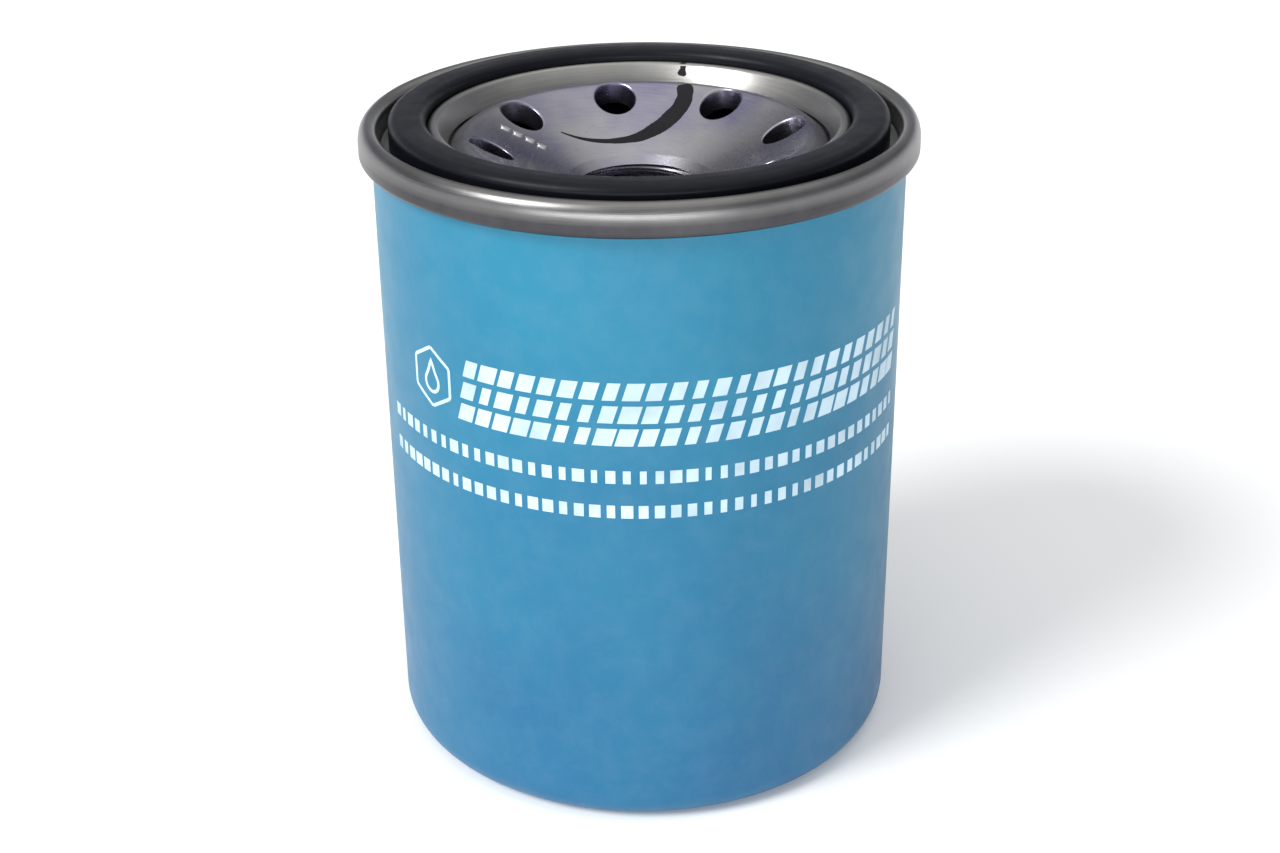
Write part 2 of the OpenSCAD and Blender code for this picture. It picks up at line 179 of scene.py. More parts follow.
class FilterFinish(PropertyGroup):
    """Colours of the pieces."""

    enamel: FloatVectorProperty(
        name="Enamel", description="Colour of the can", subtype="COLOR",
        default=(0.004, 0.185, 0.305))
    # Painted shade: lower down the can, the enamel turns towards this darker colour.
    enamel_shade: FloatVectorProperty(
        name="Deep enamel", description="Darker tone of the can", subtype="COLOR",
        default=(0.003, 0.104, 0.236))
    tin: FloatVectorProperty(
        name="Tin", description="Colour of the rolled lid", subtype="COLOR",
        default=(0.37, 0.365, 0.35))
    zinc: FloatVectorProperty(
        name="Zinc", description="Colour of the base plate", subtype="COLOR",
        default=(0.37, 0.365, 0.385))
    # Part passivation tint and part painted reflection of violet light.
    zinc_tint_and_reflection: FloatVectorProperty(
        name="Zinc tint", description="Violet tone in the base plate", subtype="COLOR",
        default=(0.20, 0.185, 0.32))
    rubber: FloatVectorProperty(
        name="Rubber", description="Colour of the gasket", subtype="COLOR",
        default=(0.004, 0.0045, 0.008))
    print_white: FloatVectorProperty(
        name="Print", description="Colour of the printed band", subtype="COLOR",
        default=(0.55, 0.72, 0.82))
    pen: FloatVectorProperty(
        name="Pen", description="Colour of the felt-pen stroke", subtype="COLOR",
        default=(0.005, 0.005, 0.007))


def sizes():
    """The filter's sizes in this scene."""
    return bpy.context.scene.filter_sizes


def finish():
    """The filter's colours in this scene."""
    return bpy.context.scene.filter_finish


# ---------------------------------------------------------------- profiles


def arc(centre, radius, start, end, steps=12):
    """Points along an arc, its angles in degrees."""
    angles = np.radians(np.linspace(start, end, steps + 1))
    return [(centre[0] + radius * math.cos(a), centre[1] + radius * math.sin(a)) for a in angles]


def sheet_outline(path, thickness):
    """Closed outline of a sheet whose middle follows a path, with mitred corners."""
    p = np.array(path, float)
    d = np.diff(p, axis=0)
    n = np.stack([-d[:, 1], d[:, 0]], 1) / np.linalg.norm(d, axis=1)[:, None]
    before, after = np.vstack([n[:1], n]), np.vstack([n, n[-1:]])
    mitre = (before + after) / (1 + (before * after).sum(1))[:, None]
    one_side, other_side = p + mitre * thickness / 2, p - mitre * thickness / 2
    return [tuple(q) for q in np.vstack([one_side, other_side[::-1]])]


def soften(points, radii, closed=True, steps=6):
    """The points with each corner rounded by its radius. An open path keeps its ends."""
    radii = [radii] * len(points) if isinstance(radii, (int, float)) else radii
    out, count = [], len(points)
    for i, (point, radius) in enumerate(zip(points, radii)):
        if radius <= 0 or (not closed and i in (0, count - 1)):
            out.append(tuple(point))
            continue
        here = Vector(point)
        back, ahead = Vector(points[i - 1]) - here, Vector(points[(i + 1) % count]) - here
        half = back.angle(ahead) / 2
        if half > 1.55:
            out.append(tuple(point))
            continue
        cut = min(radius / math.tan(half), 0.48 * back.length, 0.48 * ahead.length)
        round_to = cut * math.tan(half)
        start, end = here + back.normalized() * cut, here + ahead.normalized() * cut
        inwards = (back.normalized() + ahead.normalized()).normalized()
        centre = here + inwards * (round_to / math.sin(half))
        a, b = start - centre, end - centre
        for k in range(steps + 1):
            t = k / steps
            out.append(tuple(centre + (a * (1 - t) + b * t).normalized() * round_to))
    return out


def ring_outline(outer, inner, bottom, top, radius=0.15 * MM):
    """Closed outline of a ring with eased edges."""
    return soften([(inner, bottom), (outer, bottom), (outer, top), (inner, top)], radius)


# ---------------------------------------------------------------- node trees

FLOAT, INTEGER, GEOMETRY, MATERIAL = (
    "NodeSocketFloat", "NodeSocketInt", "NodeSocketGeometry", "NodeSocketMaterial")
VECTOR = "NodeSocketVector"


def place(tree, kind, inputs=None, **settings):
    """Adds a node, with its settings, its input values and its links."""
    node = tree.nodes.new(kind)
    for key, value in settings.items():
        setattr(node, key, value)
    for key, value in (inputs or {}).items():
        socket = node.inputs[key]
        if isinstance(value, bpy.types.NodeSocket):
            tree.links.new(value, socket)
        else:
            socket.default_value = value
    return node


def calc(tree, operation, *values, clamp=False):
    """Output of a Math node."""
    node = place(tree, "ShaderNodeMath", dict(enumerate(values)), operation=operation)
    node.use_clamp = clamp
    return node.outputs[0]


def new_tree(name, kind, inputs, outputs):
    """A node group with named sockets, and the sockets of its input and output nodes."""
    tree = bpy.data.node_groups.new(name, kind)
    for label, socket, default in inputs:
        made = tree.interface.new_socket(label, in_out="INPUT", socket_type=socket)
        if default is not None:
            made.default_value = default
    for label, socket in outputs:
        tree.interface.new_socket(label, in_out="OUTPUT", socket_type=socket)
    return tree, tree.nodes.new("NodeGroupInput").outputs, tree.nodes.new("NodeGroupOutput").inputs


def geometry_tree(name, inputs, build):
    """A Geometry Nodes tree that ends in smooth shading, Realize Instances and Set Material."""
    if name in bpy.data.node_groups:
        return bpy.data.node_groups[name]
    inputs = [("Geometry", GEOMETRY, None), *inputs, ("Material", MATERIAL, None)]
    tree, given, result = new_tree(name, "GeometryNodeTree", inputs, [("Geometry", GEOMETRY)])
    made = build(tree, given)
    real = place(tree, "GeometryNodeRealizeInstances", {"Geometry": made})
    smooth = place(tree, "GeometryNodeSetShadeSmooth", {0: real.outputs[0]})
    painted = place(
        tree, "GeometryNodeSetMaterial",
        {"Geometry": smooth.outputs[0], "Material": given["Material"]})
    tree.links.new(painted.outputs[0], result[0])
    return tree


def wrap(tree, radius, angle, height):
    """Position at a radius, an angle in radians and a height."""
    return place(tree, "ShaderNodeCombineXYZ", {
        "X": calc(tree, "MULTIPLY", radius, calc(tree, "COSINE", angle)),
        "Y": calc(tree, "MULTIPLY", radius, calc(tree, "SINE", angle)),
        "Z": height}).outputs[0]


def sheet_of_points(tree, columns, rows):
    """A grid to be wrapped round the axis, its way round from 0 to 1, and its row from 0."""
    grid = place(tree, "GeometryNodeMeshGrid", {
        "Size X": 1.0, "Size Y": 1.0,
        "Vertices X": calc(tree, "ADD", columns, 1.0), "Vertices Y": rows})
    here = place(tree, "GeometryNodeInputPosition").outputs[0]
    at = place(tree, "ShaderNodeSeparateXYZ", {0: here})
    u = calc(tree, "ADD", at.outputs["X"], 0.5)
    v = calc(tree, "ROUND", calc(
        tree, "MULTIPLY", calc(tree, "ADD", at.outputs["Y"], 0.5),
        calc(tree, "SUBTRACT", rows, 1.0)))
    return grid.outputs["Mesh"], u, v


def moved(tree, mesh, position):
    """The mesh or curve with its points put at a position."""
    return place(tree, "GeometryNodeSetPosition",
        {"Geometry": mesh, "Position": position}).outputs[0]


def welded(tree, mesh):
    """The mesh with the points that meet made one."""
    return place(tree, "GeometryNodeMergeByDistance",
        {"Geometry": mesh, "Distance": WELD}).outputs[0]


def build_turning(tree, given):
    """Turns the profile that the piece starts as about the axis."""
    count = place(tree, "GeometryNodeAttributeDomainSize", {"Geometry": given["Geometry"]})
    mesh, u, v = sheet_of_points(tree, given["Segments"], count.outputs["Point Count"])
    whole = place(tree, "FunctionNodeFloatToInt", {0: v}, rounding_mode="ROUND")
    sample = place(tree, "GeometryNodeSampleIndex", {
        "Geometry": given["Geometry"],
        "Value": place(tree, "GeometryNodeInputPosition").outputs[0],
        "Index": whole.outputs[0]}, data_type="FLOAT_VECTOR")
    point = place(tree, "ShaderNodeSeparateXYZ", {0: sample.outputs[0]})
    position = wrap(tree, point.outputs["X"], calc(tree, "MULTIPLY", u, TURN), point.outputs["Z"])
    return welded(tree, moved(tree, mesh, position))


def build_thread(tree, given):
    """Internal thread: a bore whose radius follows a 60 degree form along a right-hand helix."""
    per_pitch = 16.0
    lead_in = 2.0                      # spare turns that are folded flat at the two ends
    root, flank = 0.375, 0.3125        # half the gap between crests and a flank's run, in pitches
    pitch, bottom, length = given["Pitch"], given["Bottom"], given["Length"]
    turns = calc(tree, "DIVIDE", length, pitch)
    rows = calc(tree, "ADD", calc(tree, "MULTIPLY", calc(
        tree, "CEIL", calc(tree, "ADD", turns, lead_in)), per_pitch), 1.0)
    mesh, u, v = sheet_of_points(tree, given["Segments"], rows)
    step = calc(tree, "DIVIDE", v, per_pitch)
    rise = calc(tree, "SUBTRACT", calc(tree, "ADD", step, u), 1.0)
    top = calc(tree, "ADD", bottom, length)
    height = calc(tree, "MINIMUM", top, calc(
        tree, "MAXIMUM", bottom, calc(tree, "ADD", bottom, calc(tree, "MULTIPLY", rise, pitch))))
    off = calc(tree, "ABSOLUTE", calc(tree, "SUBTRACT", calc(tree, "FRACT", step), 0.5))
    form = calc(tree, "DIVIDE", calc(tree, "SUBTRACT", root, off), flank, clamp=True)
    into = calc(tree, "DIVIDE", calc(tree, "SUBTRACT", top, height), pitch, clamp=True)
    out = calc(tree, "DIVIDE", calc(tree, "SUBTRACT", height, bottom), pitch, clamp=True)
    depth = calc(tree, "MULTIPLY", given["Depth"], calc(
        tree, "MULTIPLY", form, calc(tree, "MULTIPLY", into, out)))
    radius = calc(tree, "ADD", given["Crest radius"], depth)
    angle = calc(tree, "MULTIPLY", u, TURN)
    return welded(tree, moved(tree, mesh, wrap(tree, radius, angle, height)))


def build_pleats(tree, given):
    """Paper folded to and fro between two radii, with rounded folds."""
    per_pleat, rows = 16.0, 9
    sharp = 0.975                      # 1 would be a knife edge at each fold
    columns = calc(tree, "MULTIPLY", given["Pleats"], per_pleat)
    mesh, u, v = sheet_of_points(tree, columns, rows)
    phase = calc(tree, "MULTIPLY", calc(tree, "MULTIPLY", u, given["Pleats"]), TURN)
    folded = calc(tree, "DIVIDE", calc(tree, "ARCSINE", calc(
        tree, "MULTIPLY", calc(tree, "COSINE", phase), sharp)), 2 * math.asin(sharp))
    swing = calc(tree, "ADD", folded, 0.5)
    depth = calc(tree, "SUBTRACT", given["Outer radius"], given["Inner radius"])
    share = calc(tree, "DIVIDE", v, rows - 1)
    height = calc(tree, "ADD", given["Bottom"], calc(
        tree, "MULTIPLY", share, calc(tree, "SUBTRACT", given["Top"], given["Bottom"])))
    radius = calc(tree, "ADD", given["Inner radius"], calc(tree, "MULTIPLY", swing, depth))
    turn = calc(tree, "MULTIPLY", u, TURN)
    spread, rise = 7.0, 3.0            # how fast the unevenness changes round and along the paper
    spot = place(tree, "ShaderNodeCombineXYZ", {
        "X": calc(tree, "MULTIPLY", calc(tree, "SINE", turn), spread),
        "Y": calc(tree, "MULTIPLY", calc(tree, "COSINE", turn), spread),
        "Z": calc(tree, "MULTIPLY", share, rise)})
    cloud = place(tree, "ShaderNodeTexNoise", {"Vector": spot.outputs[0], "Scale": 1.0})
    lean = calc(tree, "MULTIPLY", calc(
        tree, "SUBTRACT", cloud.outputs["Fac"], 0.5), given["Unevenness"])
    middle = calc(tree, "MULTIPLY", calc(
        tree, "SINE", calc(tree, "MULTIPLY", share, math.pi)), lean)
    return welded(tree, moved(tree, mesh, wrap(
        tree, radius, calc(tree, "ADD", turn, middle), height)))


def build_spring(tree, given):
    """Coil with closed ends, its wire swept along a helix."""
    turns = calc(tree, "ADD", given["Active turns"], 2.0)
    line = place(tree, "GeometryNodeCurvePrimitiveLine")
    points = place(tree, "GeometryNodeResampleCurve", {
        "Curve": line.outputs[0],
        "Count": calc(tree, "ADD", calc(tree, "MULTIPLY", turns, given["Steps per turn"]), 1.0)})
    along = place(tree, "GeometryNodeSplineParameter").outputs["Factor"]
    u = calc(tree, "MULTIPLY", along, turns)
    wire, end = given["Wire"], given["End rise"]
    free = calc(tree, "SUBTRACT", calc(tree, "SUBTRACT", given["Height"], wire),
        calc(tree, "MULTIPLY", end, 2.0))
    pitch = calc(tree, "DIVIDE", free, given["Active turns"])
    first = calc(tree, "MULTIPLY", calc(tree, "MINIMUM", u, 1.0), end)
    past = calc(tree, "MAXIMUM", calc(tree, "SUBTRACT", u, 1.0), 0.0)
    active = calc(tree, "MULTIPLY", calc(tree, "MINIMUM", past, given["Active turns"]), pitch)
    last = calc(tree, "MULTIPLY", calc(
        tree, "MAXIMUM", calc(tree, "SUBTRACT", past, given["Active turns"]), 0.0), end)
    rise = calc(tree, "ADD", calc(tree, "ADD", first, active), last)
    half = calc(tree, "MULTIPLY", wire, 0.5)
    height = calc(tree, "ADD", calc(tree, "ADD", given["Base"], half), rise)
    coil = moved(tree, points.outputs[0], wrap(
        tree, given["Mean radius"], calc(tree, "MULTIPLY", u, TURN), height))
    section = place(tree, "GeometryNodeCurvePrimitiveCircle", {"Resolution": 14, "Radius": half})
    return place(tree, "GeometryNodeCurveToMesh", {
        "Curve": coil, "Profile Curve": section.outputs[0], "Fill Caps": True}).outputs[0]


def build_perforated_tube(tree, given):
    """Tube with staggered rows of round holes cut through its wall."""
    wall_sides, hole_sides = 96, 24
    height = calc(tree, "SUBTRACT", given["Top"], given["Bottom"])
    middle = calc(tree, "MULTIPLY", calc(tree, "ADD", given["Top"], given["Bottom"]), 0.5)
    up = place(tree, "ShaderNodeCombineXYZ", {"Z": middle}).outputs[0]

    def drum(radius, depth, sides):
        return place(tree, "GeometryNodeMeshCylinder", {
            "Vertices": sides, "Radius": radius, "Depth": depth}).outputs["Mesh"]

    def raised(radius, depth):
        return place(tree, "GeometryNodeTransform", {
            "Geometry": drum(radius, depth, wall_sides), "Translation": up}).outputs[0]

    outer = raised(given["Radius"], height)
    inner_radius = calc(tree, "SUBTRACT", given["Radius"], given["Wall"])
    bore = raised(inner_radius, calc(tree, "MULTIPLY", height, 1.2))
    total = calc(tree, "MULTIPLY", given["Holes round"], given["Rows"])
    line = place(tree, "GeometryNodeMeshLine", {"Count": total})
    index = place(tree, "GeometryNodeInputIndex").outputs[0]
    row = calc(tree, "FLOOR", calc(tree, "DIVIDE", calc(tree, "ADD", index, 0.5),
        given["Holes round"]))
    stagger = calc(tree, "MULTIPLY", calc(tree, "MODULO", row, 2.0), 0.5)
    angle = calc(tree, "MULTIPLY", calc(
        tree, "DIVIDE", calc(tree, "ADD", index, stagger), given["Holes round"]), TURN)
    pitch = calc(tree, "DIVIDE", calc(
        tree, "SUBTRACT", height, calc(tree, "MULTIPLY", given["Margin"], 2.0)), given["Rows"])
    level = calc(tree, "ADD", calc(tree, "ADD", given["Bottom"], given["Margin"]), calc(
        tree, "MULTIPLY", calc(tree, "ADD", row, 0.5), pitch))
    spots = moved(tree, line.outputs[0], wrap(tree, given["Radius"], angle, level))
    turn = place(tree, "ShaderNodeCombineXYZ", {"Y": math.pi / 2, "Z": angle}).outputs[0]
    punch = drum(calc(tree, "MULTIPLY", given["Hole"], 0.5), calc(
        tree, "MULTIPLY", given["Wall"], 6.0), hole_sides)
    punches = place(tree, "GeometryNodeInstanceOnPoints", {
        "Points": spots, "Rotation": turn, "Instance": punch})
    holes = place(tree, "GeometryNodeRealizeInstances", {"Geometry": punches.outputs[0]}).outputs[0]
    made = outer
    for tool in (bore, holes):
        node = place(tree, "GeometryNodeMeshBoolean", operation="DIFFERENCE")
        tree.links.new(made, node.inputs["Mesh 1"])
        tree.links.new(tool, node.inputs["Mesh 2"])
        made = node.outputs[0]
    return made


def build_ring_of(tree, given):
    """Copies of the starting mesh, spread round the axis."""
    line = place(tree, "GeometryNodeMeshLine", {"Count": given["Count"]})
    index = place(tree, "GeometryNodeInputIndex").outputs[0]
    angle = calc(tree, "MULTIPLY", calc(tree, "DIVIDE", index, given["Count"]), TURN)
    spots = moved(tree, line.outputs[0], wrap(tree, given["Ring radius"], angle, given["Height"]))
    turn = place(tree, "ShaderNodeCombineXYZ", {"Z": angle}).outputs[0]
    return place(tree, "GeometryNodeInstanceOnPoints", {
        "Points": spots, "Instance": given["Geometry"], "Rotation": turn}).outputs[0]


def build_printed_row(tree, given):
    """A row of slanted bars of uneven length, wrapped round the can's wall."""
    line = place(tree, "GeometryNodeMeshLine", {"Count": given["Count"]})
    index = place(tree, "GeometryNodeInputIndex").outputs[0]
    spread = place(tree, "FunctionNodeRandomValue", {"Seed": given["Seed"]}, data_type="FLOAT")
    length = calc(tree, "ADD", given["Shortest"], calc(
        tree, "MULTIPLY", spread.outputs[1],
        calc(tree, "SUBTRACT", given["Longest"], given["Shortest"])))
    along = calc(tree, "MULTIPLY", index, given["Pitch"])
    in_line = place(tree, "ShaderNodeCombineXYZ", {"X": along}).outputs[0]
    spots = moved(tree, line.outputs[0], in_line)
    size = place(tree, "ShaderNodeCombineXYZ",
        {"X": length, "Y": given["Bar height"], "Z": 1.0}).outputs[0]
    bars = place(tree, "GeometryNodeInstanceOnPoints", {
        "Points": spots, "Instance": given["Geometry"], "Scale": size})
    flat = place(tree, "GeometryNodeRealizeInstances", {"Geometry": bars.outputs[0]}).outputs[0]
    here = place(tree, "GeometryNodeInputPosition").outputs[0]
    at = place(tree, "ShaderNodeSeparateXYZ", {0: here})
    leaning = calc(tree, "ADD", at.outputs["X"],
        calc(tree, "MULTIPLY", at.outputs["Y"], given["Slant"]))
    angle = calc(tree, "ADD", given["Start angle"],
        calc(tree, "DIVIDE", leaning, given["Wall radius"]))
    radius = calc(tree, "ADD", given["Wall radius"], at.outputs["Z"])
    height = calc(tree, "ADD", given["Height"], at.outputs["Y"])
    return moved(tree, flat, wrap(tree, radius, angle, height))


# ---------------------------------------------------------------- pieces


def start_piece(name, points=(), edges=(), faces=()):
    """A new object at the origin that holds this mesh."""
    mesh = bpy.data.meshes.new(name)
    mesh.from_pydata([tuple(p) for p in points], list(edges), list(faces))
    piece = bpy.data.objects.new(name, mesh)
    bpy.context.scene.collection.objects.link(piece)
    return piece


def start_profile(name, profile, closed=True):
    """A new object that holds a profile as a line in the XZ plane."""
    points = list(profile) + ([profile[0]] if closed else [])
    edges = [(i, i + 1) for i in range(len(points) - 1)]
    return start_piece(name, [(r, 0, z) for r, z in points], edges)


def run_tree(piece, tree, values):
    """Runs a Geometry Nodes tree on a piece with values for its inputs, and keeps its mesh."""
    modifier = piece.modifiers.new("shape", "NODES")
    modifier.node_group = tree
    for item in tree.interface.items_tree:
        if item.in_out == "INPUT" and item.name in values:
            modifier[item.identifier] = values[item.name]
    return keep_mesh(piece)


def keep_mesh(piece):
    """Replaces a piece's mesh by its evaluated one and removes its modifiers."""
    graph = bpy.context.evaluated_depsgraph_get()
    graph.update()
    mesh = bpy.data.meshes.new_from_object(
        piece.evaluated_get(graph), preserve_all_data_layers=True, depsgraph=graph)
    piece.modifiers.clear()
    old, piece.data = piece.data, mesh
    bpy.data.meshes.remove(old)
    mesh.name = piece.name
    if not mesh.polygons:
        raise RuntimeError(f"{piece.name} came out empty")
    return piece


def face_out(piece, recalculate=False):
    """Turns the faces of a closed mesh outwards, and splits its shading at true corners."""
    made = bmesh.new()
    made.from_mesh(piece.data)
    bmesh.ops.remove_doubles(made, verts=made.verts, dist=WELD)
    if recalculate:
        bmesh.ops.recalc_face_normals(made, faces=made.faces)
    if made.calc_volume(signed=True) < 0:
        bmesh.ops.reverse_faces(made, faces=made.faces)
    made.to_mesh(piece.data)
    made.free()
    piece.data.shade_smooth()
    piece.data.set_sharp_from_angle(angle=SHARP)
    return piece


def paint(piece, finish_name):
    """Gives a whole piece one finish."""
    piece.data.materials.clear()
    piece.data.materials.append(bpy.data.materials[finish_name])
    return piece


def seat(piece, body, slot=None, *nodes):
    """Makes a piece ride on a body and lets it stand for CAD nodes, which it hides. The slot is not
    used.
    """
    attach(piece, body)
    if nodes:
        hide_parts(*nodes)
    return piece


def turned(name, profile, finish_name, segments=192):
    """A piece turned from a closed profile."""
    tree = geometry_tree("turned_piece", [("Segments", INTEGER, 192)], build_turning)
    piece = start_profile(name, profile)
    run_tree(piece, tree, {"Segments": segments, "Material": bpy.data.materials[finish_name]})
    return face_out(piece, recalculate=True)


def spring(name, mean_radius, wire, height, turns, base):
    """A coil spring that stands at a height."""
    tree = geometry_tree("coil_spring", [
        ("Mean radius", FLOAT, 0.02), ("Wire", FLOAT, 0.002), ("Height", FLOAT, 0.01),
        ("Active turns", FLOAT, 1.0), ("End rise", FLOAT, 0.002), ("Base", FLOAT, 0.0),
        ("Steps per turn", INTEGER, 64)], build_spring)
    piece = start_piece(name, [(0, 0, 0)])
    run_tree(piece, tree, {
        "Mean radius": mean_radius, "Wire": wire, "Height": height, "Active turns": turns,
        "End rise": 1.08 * wire, "Base": base, "Material": bpy.data.materials["drawn_wire"]})
    return face_out(piece)


# ---------------------------------------------------------------- finishes


def pattern(name, inputs, outputs, build):
    """A shader node group that several finishes share."""
    if name in bpy.data.node_groups:
        return bpy.data.node_groups[name]
    tree, given, result = new_tree(name, "ShaderNodeTree", inputs, outputs)
    for label, socket in build(tree, given).items():
        tree.links.new(socket, result[label])
    return tree


def noise(tree, vector, scale, detail=3.0, roughness=0.55):
    """Output of a cloudy noise."""
    return place(tree, "ShaderNodeTexNoise", {
        "Vector": vector, "Scale": scale, "Detail": detail, "Roughness": roughness}).outputs["Fac"]


def ramp(tree, value, start, end, low_value=0.0, high_value=1.0):
    """Value mapped from one range to another and held at its ends."""
    return place(tree, "ShaderNodeMapRange", {
        "Value": value, "From Min": start, "From Max": end,
        "To Min": low_value, "To Max": high_value}).outputs[0]


def blend(tree, share, first, second):
    """Mix of two colours."""
    node = place(tree, "ShaderNodeMix", data_type="RGBA")
    for number, value in ((0, share), (6, first), (7, second)):
        socket = node.inputs[number]
        if isinstance(value, bpy.types.NodeSocket):
            tree.links.new(value, socket)
        else:
            socket.default_value = value if isinstance(value, float) else (*value[:3], 1.0)
    return node.outputs[2]


def build_grain(tree, given):
    """Fine even grain, as on moulded rubber or sprayed enamel."""
    fine = noise(tree, given["Vector"], given["Scale"], 4.0, 0.6)
    coarse = noise(tree, given["Vector"], calc(tree, "MULTIPLY", given["Scale"], 0.13), 2.0)
    height = calc(tree, "ADD", calc(tree, "MULTIPLY", fine, 0.6),
        calc(tree, "MULTIPLY", coarse, 0.4))
    return {"Height": height, "Tone": coarse}


def build_turned_marks(tree, given):
    """Fine rings left by rolling and drawing, stretched round the axis."""
    at = place(tree, "ShaderNodeSeparateXYZ", {0: given["Vector"]})
    flat = place(tree, "ShaderNodeCombineXYZ",
        {"X": at.outputs["X"], "Y": at.outputs["Y"]}).outputs[0]
    radius = place(tree, "ShaderNodeVectorMath", {0: flat}, operation="LENGTH").outputs["Value"]
    around = place(tree, "ShaderNodeVectorMath", {0: flat}, operation="NORMALIZE").outputs["Vector"]
    stretched = place(tree, "ShaderNodeVectorMath", {0: around, "Scale": given["Run"]},
        operation="SCALE")
    across = place(tree, "ShaderNodeCombineXYZ", {
        "X": calc(tree, "MULTIPLY", radius, given["Fineness"]),
        "Z": calc(tree, "MULTIPLY", at.outputs["Z"], given["Fineness"])}).outputs[0]
    spot = place(tree, "ShaderNodeVectorMath", {
        0: across, 1: stretched.outputs[0]}, operation="ADD").outputs[0]
    lines = noise(tree, spot, 1.0, 5.0, 0.65)
    blotch = noise(tree, given["Vector"], 90.0, 3.0)
    return {"Height": lines, "Radius": radius, "Tone": calc(tree, "ADD", calc(
        tree, "MULTIPLY", lines, 0.5), calc(tree, "MULTIPLY", blotch, 0.5))}


def build_specks(tree, given):
    """Scattered small specks and chips, more of them where Where is high."""
    cells = place(tree, "ShaderNodeTexVoronoi",
        {"Vector": given["Vector"], "Scale": given["Scale"]})
    size = noise(tree, given["Vector"], calc(tree, "MULTIPLY", given["Scale"], 0.31), 2.0)
    spread = calc(tree, "MULTIPLY", calc(tree, "MULTIPLY", size, given["Size"]), given["Where"])
    inside = calc(tree, "SUBTRACT", spread, cells.outputs["Distance"])
    return {"Mask": ramp(tree, inside, 0.0, 0.06)}


def build_dust(tree, given):
    """Thin uneven film of dust, thicker where the surface faces up."""
    normal = place(tree, "ShaderNodeNewGeometry").outputs["Normal"]
    up = place(tree, "ShaderNodeSeparateXYZ", {0: normal}).outputs["Z"]
    cloud = noise(tree, given["Vector"], given["Scale"], 6.0, 0.7)
    facing = ramp(tree, up, -0.2, 0.9, 0.35, 1.0)
    return {"Mask": calc(tree, "MULTIPLY", calc(
        tree, "MULTIPLY", ramp(tree, cloud, 0.42, 0.78), facing), given["Amount"])}


def patterns():
    """The shared pattern groups by name."""
    vector = ("Vector", VECTOR, None)
    return {
        "grain": pattern(
            "grain", [vector, ("Scale", FLOAT, 900.0)],
            [("Height", FLOAT), ("Tone", FLOAT)], build_grain),
        "turned": pattern(
            "turned_marks", [vector, ("Fineness", FLOAT, 3000.0), ("Run", FLOAT, 2.0)],
            [("Height", FLOAT), ("Tone", FLOAT), ("Radius", FLOAT)], build_turned_marks),
        "specks": pattern(
            "specks", [vector, ("Scale", FLOAT, 600.0), ("Size", FLOAT, 0.5), ("Where", FLOAT, 1.0)],
            [("Mask", FLOAT)], build_specks),
        "dust": pattern(
            "dust_film", [vector, ("Scale", FLOAT, 160.0), ("Amount", FLOAT, 0.3)],
            [("Mask", FLOAT)], build_dust),
    }


class Finish:
    """A material under construction: its tree, its shader and its Object coordinates."""

    def __init__(self, name, **constants):
        self.material = bpy.data.materials.new(name)
        self.material.use_nodes = True
        self.tree = self.material.node_tree
        self.shader = self.tree.nodes["Principled BSDF"]
        for socket, value in constants.items():
            self.shader.inputs[socket.replace("_", " ")].default_value = value
        self.where = place(self.tree, "ShaderNodeTexCoord").outputs["Object"]
        self.groups = patterns()

    def pattern(self, name, **inputs):
        """Places a shared pattern group with this finish's values."""
        node = place(self.tree, "ShaderNodeGroup")
        node.node_tree = self.groups[name]
        self.tree.links.new(self.where, node.inputs["Vector"])
        for key, value in inputs.items():
            if isinstance(value, bpy.types.NodeSocket):
                self.tree.links.new(value, node.inputs[key])
            else:
                node.inputs[key].default_value = value
        return node.outputs

    def bump(self, height, strength, distance):
        """Roughens the surface by a height."""
        node = place(self.tree, "ShaderNodeBump", {
            "Height": height, "Strength": strength, "Distance": distance})
        self.tree.links.new(node.outputs[0], self.shader.inputs["Normal"])

    def feed(self, **sockets):
        """Links values to the shader's sockets of those names."""
        for key, value in sockets.items():
            self.tree.links.new(value, self.shader.inputs[key.replace("_", " ")])


def rgb(value, share=1):
    """A colour as a plain tuple, brightened or darkened by a share."""
    return tuple(share * c for c in tuple(value)[:3])


def mix_enamel():
    """Satin enamel: mottled blue with a faint orange peel, rubbed and chipped near its edges, and
    painted shade that darkens it towards the bottom.
    """
    f = Finish("satin_enamel", Specular_IOR_Level=0.42, Coat_Weight=0.12, Coat_Roughness=0.28)
    t = f.tree
    height = place(t, "ShaderNodeSeparateXYZ", {0: f.where}).outputs["Z"]
    grain = f.pattern("grain", Scale=1400.0)
    cloud = noise(t, f.where, 38.0, 4.0)
    # Painted shade: the enamel darkens towards the closed end, and the cloud adds random mottling.
    depth = calc(t, "ADD", ramp(t, height, 2 * MM, 88 * MM, 0.85, 0.05),
        ramp(t, cloud, 0.3, 0.72, -0.15, 0.2))
    tone = blend(t, depth, rgb(finish().enamel), rgb(finish().enamel_shade))
    rubbed = f.pattern("dust", Scale=240.0, Amount=0.16)["Mask"]
    tone = blend(t, rubbed, tone, (0.30, 0.42, 0.50))
    low_edge = ramp(t, height, 0.0, 5 * MM, 1.0, 0.0)
    chips = f.pattern("specks", Scale=900.0, Size=0.38, Where=low_edge)["Mask"]
    tone = blend(t, calc(t, "MULTIPLY", chips, 0.6), tone, (0.03, 0.07, 0.11))
    f.feed(Base_Color=tone)
    f.feed(Roughness=ramp(t, grain["Tone"], 0.3, 0.7, 0.40, 0.50))
    f.bump(grain["Height"], 0.22, 0.05 * MM)


